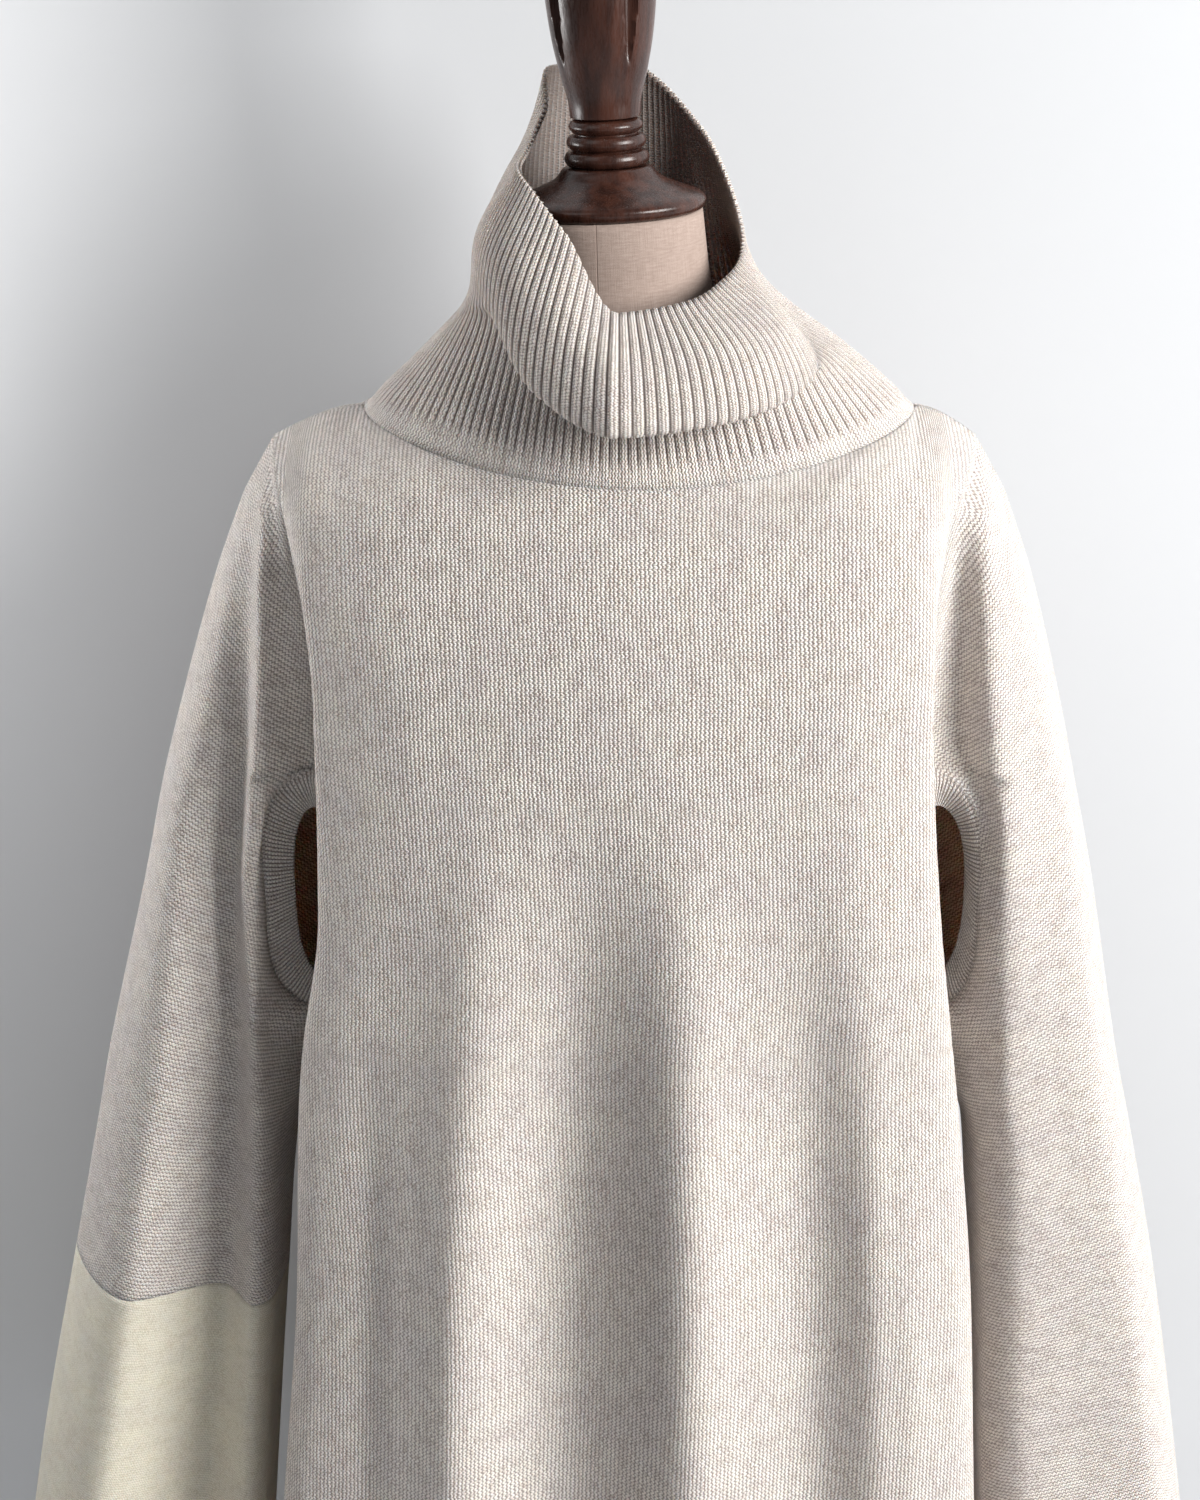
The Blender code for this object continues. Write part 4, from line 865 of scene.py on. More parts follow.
@dataclass
class Panel:
    """A body panel: its table, its neck line, its folds and the cut of its cloth."""

    half: Half
    rows: tuple[BodyRow, ...]
    neck: tuple[float, float]
    folds: tuple[Fold, ...]
    creases: tuple[Crease, ...]
    flat: tuple[float, float]
    area: float
    columns: int = 150
    yoke_rows: int = 26
    lower_rows: int = 250
    shares: np.ndarray = field(init=False)
    heights: np.ndarray = field(init=False)
    girths: np.ndarray = field(init=False)
    chest_x: np.ndarray = field(init=False)
    grid: np.ndarray = field(init=False)

    def __post_init__(self) -> None:
        """Work out the panel's shares, heights and surface."""
        self.shares = np.linspace(0.0, 1.0, self.columns)
        self.heights = np.linspace(YOKE_Z, HEM_Z, self.lower_rows)
        self.grid = self.surface_points()

    def neck_line(self) -> np.ndarray:
        """The panel's top edge: shoulder line, neck seam, shoulder line.

        The shoulder line rises by a quarter sine from the tip to the neck. The neck seam is
        half an oval seen from above, whose height goes from the side's to the middle's with
        the square of its cosine.
        """
        share = self.shares
        side = (share > 0.5).astype(int)
        inward = np.clip(np.minimum(share, 1.0 - share) / SHOULDER_SHARE, 0.0, 1.0)
        tip, neck = np.array(TIP_X)[side], np.array(NECK_X)[side]
        shoulder = np.stack((tip + (neck - tip) * inward, 0.0 * share,
                             NECK_SIDE_Z * np.sin(inward * np.pi / 2)), 1)
        turn = np.pi * ((share - SHOULDER_SHARE) / (1.0 - 2.0 * SHOULDER_SHARE) - 0.5)
        centre, half = sum(NECK_X) / 2, (NECK_X[1] - NECK_X[0]) / 2
        oval = np.stack((centre + half * np.sin(turn), self.neck[0] * np.cos(turn),
                         self.neck[1] * np.cos(turn) ** 2
                         + NECK_SIDE_Z * np.sin(turn) ** 2), 1)
        on_shoulder = np.minimum(share, 1.0 - share) < SHOULDER_SHARE
        return np.where(on_shoulder[:, None], shoulder, oval)

    def seam_end(self, seam: np.ndarray, edge: np.ndarray, z: float, side: Side) -> tuple:
        """The seam point at height z, cut back round the slit, and the point just inside it."""
        if z <= UNDERARM_Z:
            return seam, seam + (0.0, self.half.outward * SEAM_EASE)
        if self.half is Half.FRONT:
            seam = seam + unit(edge - seam) * slit_rise(z) * BODY_CUT
        sleeve = read_rows(RIGHT_SLEEVE if side is Side.RIGHT else LEFT_SLEEVE, z)[0, :-1]
        dip, *_, tail = sleeve.reshape(-1, 2)
        beyond = (dip if self.half is Half.FRONT else tail) * (side.value, 1.0)
        way = -unit(unit(seam - edge) + unit(beyond - seam))
        return seam, eased(seam, way, edge, z)

    def section(self, z: float) -> tuple[np.ndarray, float]:
        """The panel's level section at height z, and its length.

        Half an oval stands on the two folded edges, squared off a little, and each edge is
        tucked round to its seam.
        """
        numbers = read_rows(self.rows, z)[0]
        seam_r, edge_r, edge_l, seam_l, seam_y, edge_y, turn_y, face_y = numbers
        middle = (edge_r + edge_l) / 2
        face = []
        for across in FACE_SHARES:
            reach = (edge_l - middle) if across > 0 else (middle - edge_r)
            fall = (1.0 - math.sqrt(1.0 - across * across)) * FACE_SQUARED
            round_off = max(1.0 - fall, 0.0)
            face.append((middle + across * reach, turn_y + (face_y - turn_y) * round_off))
        right, left = np.array((edge_r, edge_y)), np.array((edge_l, edge_y))
        start = self.seam_end(np.array((seam_r, seam_y)), right, z, Side.RIGHT)
        end = self.seam_end(np.array((seam_l, seam_y)), left, z, Side.LEFT)
        controls = np.array([*start, right, *face, left, *reversed(end)])
        plan = along(controls, self.shares)
        return np.column_stack((plan, np.full(self.columns, z))), lengths(plan)[-1]

    def surface_points(self) -> np.ndarray:
        """The panel's outer surface, from its top edge over the yoke to its hem.

        Over the yoke each column is a parabola from the top edge to the chest, bent by a
        top edge without its corners. Below, each row is a level section pushed in and out by
        the folds, which come in over a short drop and then grow slowly towards the hem.
        """
        sections = [self.section(z) for z in self.heights]
        rows = np.array([section[0] for section in sections])
        self.girths = np.array([section[1] for section in sections])
        self.chest_x = rows[0, :, 0].copy()
        edge = body_columns("edge_left")
        spread = read_rows(self.rows, self.heights)[:, edge]
        spread = spread / read_rows(self.rows, FOLD_PLACE_Z)[0, edge]
        z = self.heights[:, None]
        push = np.zeros(rows.shape[:2])
        for fold in self.folds:
            early = ramp(z, fold.start_z, fold.start_z - FOLD_DROP)
            late = np.clip((fold.start_z - z) / (fold.start_z - HEM_Z), 0.0, 1.0)
            grown = FOLD_EARLY * early + (1.0 - FOLD_EARLY) * late
            bell = np.exp(-((rows[..., 0] / spread - fold.x) / fold.half_width) ** 2)
            push += fold.push * grown * bell
        for crease in self.creases:
            push += crease.pushed(rows[..., 0], z)
        rows[..., 1] += self.half.outward * np.sin(np.pi * self.shares) ** 0.5 * push
        top, chest = self.neck_line(), rows[0]
        arch = np.clip(np.abs(chest[:, 1] - top[:, 1]) / YOKE_ARCH, 0.0, 1.0)[:, None]
        weights = np.hstack([level + bent * arch for level, bent in YOKE_PULL])
        eased_top = np.stack([blurred(column, YOKE_BLUR) for column in top.T], 1)
        bend = eased_top + (chest - eased_top) * weights
        t = np.linspace(0.0, 1.0, self.yoke_rows)[:-1, None, None]
        yoke = top * (1 - t) ** 2 + bend * 2 * t * (1 - t) + chest * t * t
        return np.concatenate((yoke, rows))

    def flat_places(self) -> np.ndarray:
        """Where each point lies on the flat cloth, whose stitch columns hang straight.

        Below the yoke a point lies as far across as its level section runs from the middle
        before the folds push it, and over the yoke as far as the chest does at the same x.
        Towards the shoulders the columns spread, with the square of that distance. Down the
        cloth a point lies by the lengths of its own column over the yoke, and by the mean
        of all columns below.
        """
        last = self.yoke_rows - 1
        across = (self.shares - 0.5) * self.girths[:, None]
        x = self.grid[:last, :, 0]
        over = np.interp(x, self.chest_x, across[0])
        over += x - np.clip(x, self.chest_x[0], self.chest_x[-1])
        across = np.concatenate((over, across))
        spread = SPREAD * ramp(self.grid[..., 2], *SPREAD_Z)
        across = across * (1.0 - spread * (across / across.max()) ** 2)
        steps = np.linalg.norm(np.diff(self.grid, axis=0), axis=2)
        steps[last:] = steps[last:].mean(axis=1)[:, None]
        run = np.concatenate((np.zeros((1, self.columns)), np.cumsum(steps, axis=0)))
        return np.stack((across, run[last] - run), -1) * CM

    def build(self, finish: bpy.types.Material) -> None:
        """Make the piece and give it the thickness of its knit."""
        name = self.half.node
        surface = Surface(self.grid, self.flat_places(), flipped=self.half is Half.BACK)
        piece = add_piece(name + "_knit", surface.mesh(name), finish, name)
        thicken(piece)


def eased(seam: np.ndarray, way: np.ndarray, neighbour: np.ndarray, z: float) -> np.ndarray:
    """A point just past a seam, so that high up the cloth crosses it without a crease.

    Lower down the cloth runs straight from its neighbour into the valley of the seam.
    """
    straight = unit(neighbour - seam)
    share = np.clip((z - STRAIGHT_BELOW_Z) / (EASED_ABOVE_Z - STRAIGHT_BELOW_Z), 0.0, 1.0)
    reach = min(SEAM_EASE, 0.3 * np.linalg.norm(neighbour - seam))
    return seam + reach * unit(share * np.asarray(way) + (1.0 - share) * straight)


def uncut_seam(side: Side, z: np.ndarray) -> np.ndarray:
    """The front armhole seam at heights z, as if no slit were cut."""
    return read_rows(FRONT_ROWS, z)[:, body_columns("seam_" + side.word, "seam_y")]


def folded_edge(side: Side, z: np.ndarray) -> np.ndarray:
    """The body's folded front edge at heights z."""
    return read_rows(FRONT_ROWS, z)[:, body_columns("edge_" + side.word, "edge_y")]


@dataclass
class Armhole:
    """One half of an armhole: its points from the tip down, and the cloth's way across it."""

    points: np.ndarray
    ways: np.ndarray
    turns: np.ndarray

    @classmethod
    def of(cls, grid: np.ndarray, side: Side, way_round: float, rows: int) -> "Armhole":
        """Take an armhole from the edge of a body panel's surface.

        Args:
            grid: the panel's surface.
            side: which of its edges.
            way_round: half a turn, less than nothing for the front.
            rows: how many rows of the surface reach down to the underarm.

        Returns:
            The armhole, whose turns run from the tip's half turn by the seam's length.
        """
        column, beside = (0, 1) if side is Side.RIGHT else (-1, -2)
        points = grid[:rows, column]
        run = lengths(points)
        return cls(points, unit((points - grid[:rows, beside])[:, :2]),
                   0.5 + way_round * run / run[-1])

    def read(self, z: np.ndarray) -> tuple[np.ndarray, np.ndarray, np.ndarray]:
        """The armhole's point, way and turn at heights z."""
        down = -self.points[:, 2]
        pick = [np.interp(-z, down, column) for column in
                (*self.points[:, :2].T, *self.ways.T, self.turns)]
        return np.stack(pick[:2], -1), unit(np.stack(pick[2:4], -1)), pick[4]


@dataclass
class Sleeve:
    """A hanging sleeve: its table, its slit and the cut of its cloth."""

    side: Side
    rows: tuple[SleeveRow, ...]
    slit: Slit
    flat: tuple[float, float]
    area: float
    block_flat: tuple[float, float] | None = None
    block_area: float = 0.0
    columns: int = 168
    upper_steps: int = 120
    block_steps: int = 64
    levels: int = 260
    samples: int = 161

    def fit(self, front: Panel, back: Panel) -> None:
        """Take the armhole from the body, and work out the sleeve's level sections."""
        count = int(np.sum(front.grid[:, 0, 2] >= UNDERARM_Z))
        self.front = Armhole.of(front.grid, self.side, -0.5, count)
        self.back = Armhole.of(back.grid, self.side, 0.5, count)
        points = self.front.points.copy()
        z = points[:, 2]
        bow = np.array((self.side.value * self.slit.cloth_out, self.slit.cloth_y))
        within = (z <= SLIT_TOP) & (z >= SLIT_BOTTOM)
        points[within, :2] = (uncut_seam(self.side, z) + bow * slit_rise(z)[:, None])[within]
        self.front.points = points
        self.level_z = SLEEVE_END_Z * np.linspace(0.0, 1.0, self.levels)[1:] ** 1.2
        sections = [self.section(z) for z in self.level_z]
        self.sections = np.array([section[0] for section in sections])
        self.outer_share = np.array([section[1] for section in sections])
        self.girth = np.array([section[2] for section in sections])

    def ends(self, z: np.ndarray) -> tuple:
        """The two seams' points, ways and turns at heights z; below the underarm they meet."""
        z = np.atleast_1d(z)
        front, front_way, low = self.front.read(z)
        back, back_way, high = self.back.read(z)
        below = z <= UNDERARM_Z
        inner = np.stack((self.side.value * read_rows(self.rows, z)[:, -1], 0.0 * z), -1)
        front[below], back[below] = inner[below], inner[below]
        front_way[below], back_way[below] = (0.0, -1.0), (0.0, 1.0)
        low, high = np.where(below, 0.0, low), np.where(below, 1.0, high)
        return front, front_way, low, back, back_way, high

    def section(self, z: float) -> tuple[np.ndarray, float, float]:
        """A level section from the front seam round to the back seam.

        Args:
            z: its height.

        Returns:
            Its points at even shares of its length, the share at its outer fold, and its
            length.
        """
        points = read_rows(self.rows, min(z, self.rows[0].z))[0, :-1].reshape(-1, 2)
        if z > self.rows[0].z:
            tip = np.array((abs(TIP_X[0 if self.side is Side.RIGHT else 1]), 0.0))
            points = tip + (points - tip) * (z / self.rows[0].z)
        middle = points * (self.side.value, 1.0)
        front, front_way, _, back, back_way, _ = (part[0] for part in self.ends(z))
        controls = np.vstack((front, eased(front, front_way, middle[0], z), middle,
                              eased(back, back_way, middle[-1], z), back))
        run = lengths(controls)
        shares = np.linspace(0.0, 1.0, self.samples)
        return along(controls, shares), run[OUTER_CONTROL] / run[-1], run[-1]

    def looked_up(self, shares: np.ndarray, z: np.ndarray) -> np.ndarray:
        """Points of the sections at the given shares and heights, between their samples."""
        row = np.interp(-z, -self.level_z, np.arange(len(self.level_z)))
        k = np.minimum(row.astype(int), len(self.level_z) - 2)
        s = (row - k)[..., None]
        place = np.clip(shares, 0.0, 1.0) * (self.samples - 1)
        j = np.minimum(place.astype(int), self.samples - 2)
        t = (place - j)[..., None]
        upper = self.sections[k, j] * (1 - t) + self.sections[k, j + 1] * t
        lower = self.sections[k + 1, j] * (1 - t) + self.sections[k + 1, j + 1] * t
        return upper * (1 - s) + lower * s

    def surface(self, steps: np.ndarray) -> Surface:
        """The sleeve's outer surface at steps from its armhole, nothing, to its end, one.

        A column starts on the armhole at its turn and goes down to the end. Its rows are
        level at the end and follow the armhole at the start. At a height, the place of a
        column on the section is its turn between the two seams, fanned out from both.
        """
        turns = np.linspace(0.0, 1.0, self.columns + 1)
        start_z = np.where(
            turns < 0.5,
            np.interp(turns, self.front.turns[::-1], self.front.points[::-1, 2]),
            np.interp(turns, self.back.turns, self.back.points[:, 2]))
        levels = np.array(LEVELLING)
        level = smooth(levels[:, 0], levels[:, 1], steps)[:, None]
        z = start_z * level + SLEEVE_END_Z * steps[:, None]
        front, _, low, _, _, high = self.ends(z.ravel())
        low, high = low.reshape(z.shape), high.reshape(z.shape)
        share = np.clip((turns - low) / np.maximum(high - low, 1e-9), 0.0, 1.0)
        fanned = share ** FAN / (share ** FAN + (1.0 - share) ** FAN)
        away = np.linalg.norm(front - uncut_seam(self.side, z.ravel()), axis=1).reshape(z.shape)
        bow = np.where(slit_rise(z) > 0.0, away, 0.0)
        girth = np.interp(-z, -self.level_z, self.girth)
        cut = bow / (bow + girth)
        pushed = np.maximum(fanned, cut + fanned * (1.0 - cut / SLIT_REACH))
        pushed = (pushed - cut) / (1.0 - cut)
        plan = self.looked_up(pushed, z)
        outer = np.interp(-z, -self.level_z, self.outer_share)
        round_way = (outer - pushed) * girth
        points = np.concatenate((plan, z[..., None]), -1)
        return Surface(points[:, :-1], self.flat_places(round_way, z), closed=True,
                       flipped=self.side is Side.RIGHT)

    @staticmethod
    def flat_places(round_way: np.ndarray, z: np.ndarray) -> np.ndarray:
        """Where each point lies on the flat cloth, whose stitch columns sag inwards.

        A stitch column leaves the outer fold level and drops by a slope that eases off
        with its distance round, sooner the lower it lies; the slope itself is less there.
        """
        reach = np.interp(-z, SAG_HEIGHTS, SAG_REACHES)
        sag = reach * (1.0 - np.exp(-np.sqrt(round_way ** 2 + SAG_ROUNDING) / reach))
        drop = (-z - sag * SAG_SLOPE) / (1.0 - sag * SAG_EASING)
        tilt = np.arctan(SAG_SLOPE - SAG_EASING * np.clip(drop, 0.0, SAG_LOWEST))
        across = drop * np.cos(tilt * SAG_NARROWING)
        lengthways = round_way * np.cos(tilt) + -z * np.sin(tilt) * np.sign(round_way)
        return np.stack((across, lengthways), -1) * CM

    def build(self, heather: bpy.types.Material, cream: bpy.types.Material) -> None:
        """Make the sleeve, in two pieces where it ends in a block of colour."""
        name = "sleeve_" + self.side.word
        upper = np.linspace(0.0, 1.0, self.upper_steps) ** 1.15 * BLOCK_SHARE
        block = np.linspace(BLOCK_SHARE, 1.0, self.block_steps)
        pieces = [(name, heather, "heather_knit", self.flat, self.area, upper)]
        if self.block_flat:
            pieces.append((name + "_block", cream, "cream_knit", self.block_flat,
                           self.block_area, block))
        else:
            pieces[0] = (*pieces[0][:-1], np.concatenate((upper, block[1:])))
        for node, finish, slot, flat, area, steps in pieces:
            mesh = self.surface(steps).mesh(node)
            piece = thicken(add_piece(node + "_knit", mesh, finish, node))


def rib_relief(columns: int, per_rib: int, height: float) -> np.ndarray:
    """How far round ribs rise at each column: the root of half a sine wave over each rib."""
    phase = np.arange(columns) / per_rib
    return height * np.sqrt(np.abs(np.sin(np.pi * phase)))[None, :]


def rib_places(columns: int, per_rib: int, stitches: float, down: np.ndarray) -> np.ndarray:
    """Where the points of ribbed cloth lie flat, with so many stitches to a rib."""
    across = np.arange(columns + 1) / per_rib * stitches * STITCH
    return np.stack(np.broadcast_arrays(across[None, :], down[:, None]), -1)


@dataclass
class ArmBand:
    """The ribbed band round an arm slit: two rings of points and what lies between them."""

    flat: tuple[float, float]
    ribs: int = 132
    per_rib: int = 6
    rings: int = 12
    rib_height: float = 0.08
    bulge: float = 0.05
    tuck: float = 0.1
    tucked_under: float = 0.12
    edge_blur: float = 0.7
    hole_blur: float = 1.3
    hole_points: int = 60
    hole_roundness: float = 0.75
    ribs_start: tuple[float, float] = (0.02, 0.2)
    tuck_end: float = 0.1

    def outline(self, ring: np.ndarray, blur: float) -> np.ndarray:
        """A ring read at even lengths, its corners rounded by a bell of the given reach."""
        ring = np.vstack((ring, ring[:1]))
        run = lengths(ring)
        at = np.linspace(0.0, run[-1], self.ribs * self.per_rib + 1)[:-1]
        even = np.stack([np.interp(at, run, ring[:, k]) for k in range(3)], 1)
        away = np.minimum(at, run[-1] - at)
        bell = np.exp(-0.5 * (away / blur) ** 2)
        spectrum = np.fft.rfft(even, axis=0) * np.fft.rfft(bell / bell.sum())[:, None]
        return np.fft.irfft(spectrum, n=len(at), axis=0)

    def build(self, front: Panel, sleeve: Sleeve, finish: bpy.types.Material) -> None:
        """Lay the band from the cloth's edge to the hole's edge and raise its ribs."""
        side, slit = sleeve.side, sleeve.slit
        rows = (front.grid[:, 0, 2] <= SLIT_TOP) & (front.grid[:, 0, 2] >= SLIT_BOTTOM)
        body = front.grid[rows, side.column]
        cloth = np.column_stack((sleeve.front.read(body[:, 2])[0], body[:, 2]))
        turn = np.linspace(0.0, np.pi, self.hole_points)
        rise = np.sin(turn)[:, None] ** self.hole_roundness
        top, bottom = SLIT_TOP - BAND_WIDTH, SLIT_BOTTOM + BAND_WIDTH
        z = (top + bottom) / 2 + (top - bottom) / 2 * np.cos(turn)
        seam = uncut_seam(side, z)
        out = np.array((side.value * slit.hole_out, slit.hole_y))
        inward = unit(folded_edge(side, z) - seam)
        outer_hole = np.column_stack((seam + out * rise, z))
        inner_hole = np.column_stack((seam + inward * HOLE_CUT * rise, z))
        edge = self.outline(np.vstack((cloth, body[::-1])), self.edge_blur)
        hole = self.outline(np.vstack((outer_hole, inner_hole[::-1])), self.hole_blur)
        t = np.linspace(-self.tuck, 1.0, self.rings)[:, None, None]
        rings = edge * (1.0 - t) + hole * t
        around = np.roll(rings, -1, 1) - np.roll(rings, 1, 1)
        normal = unit(np.cross(around, (hole - edge)[None])) * -side.value
        t = t[..., 0]
        relief = rib_relief(rings.shape[1], self.per_rib, self.rib_height)
        relief = relief * ramp(t, *self.ribs_start) + self.bulge * np.sin(np.pi * t)
        relief = relief - self.tucked_under * (1.0 - ramp(t, -self.tuck, self.tuck_end))
        rings = rings + normal * relief[..., None]
        down = np.linspace(0.0, self.flat[1], self.rings)
        flat = rib_places(rings.shape[1], self.per_rib, 1.0, down)
        name = "arm_band_" + side.word
        surface = Surface(rings, flat, closed=True, flipped=side is Side.RIGHT)
        piece = add_piece(name + "_rib", surface.mesh(name), finish, name)
        thicken(piece)


@dataclass
class Collar:
    """The slouchy ribbed collar, from the neck seam up, over its front fold to its top edge."""

    flat: tuple[float, float]
    ribs: int = 128
    per_rib: int = 8
    rings: int = 42
    rib_height: float = 0.12
    plain_share: float = 0.055
    crease_bearing: float = -2.0
    crease_out: float = 0.75
    crease_reach: float = 8.0
    crease_start: tuple[float, float] = (0.3, 0.55)
    ribs_start: tuple[float, float] = (0.3, 1.4)

    def build(self, front: Panel, back: Panel, finish: bpy.types.Material) -> None:
        """Lay the collar through its profiles and raise its ribs above the plain strip."""
        neck = np.vstack([panel.grid[0][(panel.shares > SHOULDER_SHARE)
                                        & (panel.shares < 1.0 - SHOULDER_SHARE)]
                          for panel in (front, back)])
        bearings = np.degrees(np.arctan2(neck[:, 0], -neck[:, 1]))
        order = np.argsort(bearings)
        around = np.linspace(-180.0, 180.0, self.ribs * self.per_rib + 1)[:-1]
        base = np.stack([np.interp(around, bearings[order], neck[order, k], period=360.0)
                         for k in range(3)], 1)
        table = np.array([np.hstack(row) for row in COLLAR_ROWS])
        whole_turn = np.eye(1, table.shape[1])[0] * 360.0
        wrapped = np.vstack((table[-1:] - whole_turn, table, table[:1] + whole_turn))
        numbers = smooth(wrapped[:, 0], wrapped[:, 1:], around).reshape(-1, 4, 2)
        foot = np.stack((np.linalg.norm(base[:, :2], axis=1), base[:, 2]), 1)[:, None, :]
        shares = np.linspace(0.0, 1.0, self.rings)
        profile = rounded(np.concatenate((foot, numbers), 1), shares)
        crease = np.exp(-np.abs(around - self.crease_bearing) / self.crease_reach)
        profile[..., 0] += self.crease_out * ramp(shares, *self.crease_start)[:, None] * crease
        way = np.radians(around)
        rings = np.stack((profile[..., 0] * np.sin(way), -profile[..., 0] * np.cos(way),
                          profile[..., 1]), -1)
        round_way = np.roll(rings, -self.per_rib, 1) - np.roll(rings, self.per_rib, 1)
        normal = unit(np.cross(round_way, np.gradient(rings, axis=0)))
        relief = rib_relief(rings.shape[1], self.per_rib, self.rib_height)
        start, whole = (share * self.plain_share for share in self.ribs_start)
        relief = relief * ramp(shares, start, whole)[:, None]
        rings = rings + normal * relief[..., None]
        flat = rib_places(rings.shape[1], self.per_rib, RIB_STITCHES, shares * self.flat[1])
        surface = Surface(rings, flat, closed=True, flipped=True)
        piece = add_piece("collar_rib", surface.mesh("collar"), finish, "collar")
        thicken(piece)


# ------------------------------------------------------------------ the dress form


def lean(points: np.ndarray) -> np.ndarray:
    """Points in centimetres turned about the shoulder level as the form's neck leans.

    The turn about the y axis grows from nothing at that level to the whole lean above it.
    """
    turn = NECK_LEAN * np.clip(points[..., 2] / LEAN_ONSET, 0.0, 1.0)
    x, z = points[..., 0], points[..., 2]
    return np.stack((x * np.cos(turn) + z * np.sin(turn), points[..., 1],
                     z * np.cos(turn) - x * np.sin(turn)), -1)


def closed_mesh(surface: Surface, name: str) -> bpy.types.Mesh:
    """A closed surface whose first and last rows are poles, joined up with no loose points."""
    mesh = surface.mesh(name)
    work = bmesh.new()
    work.from_mesh(mesh)
    bmesh.ops.remove_doubles(work, verts=work.verts, dist=1e-6)
    bmesh.ops.recalc_face_normals(work, faces=work.faces)
    work.to_mesh(mesh)
    work.free()
    return mesh


@dataclass
class Torso:
    """The limbless linen torso: a loft through its level sections, closed at both ends."""

    sides: int = 160
    rows: int = 190
    cap_steps: tuple[float, ...] = (0.0, 0.5, 0.9)
    linen_radius: float = 0.15

    def build(self, finish: bpy.types.Material) -> None:
        """Lay the torso: ovals whose front and back halves have their own depths."""
        top, bottom = TORSO_ROWS[0].z, TORSO_ROWS[-1].z
        z = np.linspace(top, bottom, self.rows)
        middle, half, front, back = read_rows(TORSO_ROWS, z).T[:, :, None]
        turn = np.linspace(0.0, 2.0 * np.pi, self.sides + 1)[:-1]
        depth = np.where(np.sin(turn) > 0.0, back, -front)
        walls = np.stack((middle + half * np.cos(turn), depth * np.sin(turn),
                          np.broadcast_to(z[:, None], depth.shape)), -1)
        shrink = np.array(self.cap_steps)[:, None, None]
        centre = np.array((0.0, 0.0, 1.0))
        caps = [row * (shrink + (1.0 - shrink) * centre) for row in (walls[0], walls[-1])]
        points = lean(np.concatenate((caps[0], walls, caps[1][::-1])))
        girth = np.linspace(0.0, 2.0 * np.pi, self.sides + 1)
        across = np.broadcast_to(girth * self.linen_radius, (len(points), self.sides + 1))
        down = np.broadcast_to(points[:, :1, 2] * CM, across.shape)
        surface = Surface(points, np.stack((across, down), -1), closed=True)
        add_piece("linen_torso", closed_mesh(surface, "linen_torso"), finish, "form_torso")


@dataclass
class Turning:
    """A piece turned about the form's axis from a profile."""

    node: str
    profile: Profile
    leans: bool = False
    grooved: bool = False
    sides: int = 144
    rows: int = 120
    samples: int = 900
    sharp_degrees: float = 50.0

    def build(self, finish: bpy.types.Material) -> None:
        """Turn the profile about the axis, and cut the lancet grooves where it has them."""
        shares = np.linspace(0.0, 1.0, self.rows)
        radius, z = along(np.array(self.profile), shares, self.samples).T
        radius[0] = radius[-1] = 0.0
        turn = np.linspace(-np.pi, np.pi, self.sides + 1)[:-1]
        reach = np.broadcast_to(radius[:, None], (self.rows, self.sides)).copy()
        if self.grooved:
            reach = self.cut(reach, turn, z[:, None])
        points = np.stack((reach * np.sin(turn), -reach * np.cos(turn),
                           np.broadcast_to(z[:, None], reach.shape)), -1)
        if self.leans:
            points = lean(points)
        flat = np.zeros((self.rows, self.sides + 1, 2))
        mesh = closed_mesh(Surface(points, flat, closed=True), self.node)
        mesh.set_sharp_from_angle(angle=math.radians(self.sharp_degrees))
        add_piece(self.node + "_turned", mesh, finish, self.node)

    @staticmethod
    def cut(reach: np.ndarray, turn: np.ndarray, z: np.ndarray) -> np.ndarray:
        """Cut long ellipsoids out of a turned shape, one at each groove's bearing.

        Inside an ellipsoid the reach falls by the groove's depth times the square root of
        what its width and height leave of one.
        """
        width, depth, height = GROOVE_HALF
        for bearing in np.radians(GROOVE_BEARINGS):
            off = np.angle(np.exp(1j * (turn - bearing)))
            left = 1.0 - (GROOVE_OUT * np.sin(off) / width) ** 2
            left = left - ((z - GROOVE_CENTRE_Z) / height) ** 2
            inside = (left > 0.0) & (np.abs(off) < 1.0)
            reach = reach - np.where(inside, depth * np.sqrt(np.clip(left, 0.0, 1.0)), 0.0)
        return reach


# ------------------------------------------------------------------ the studio


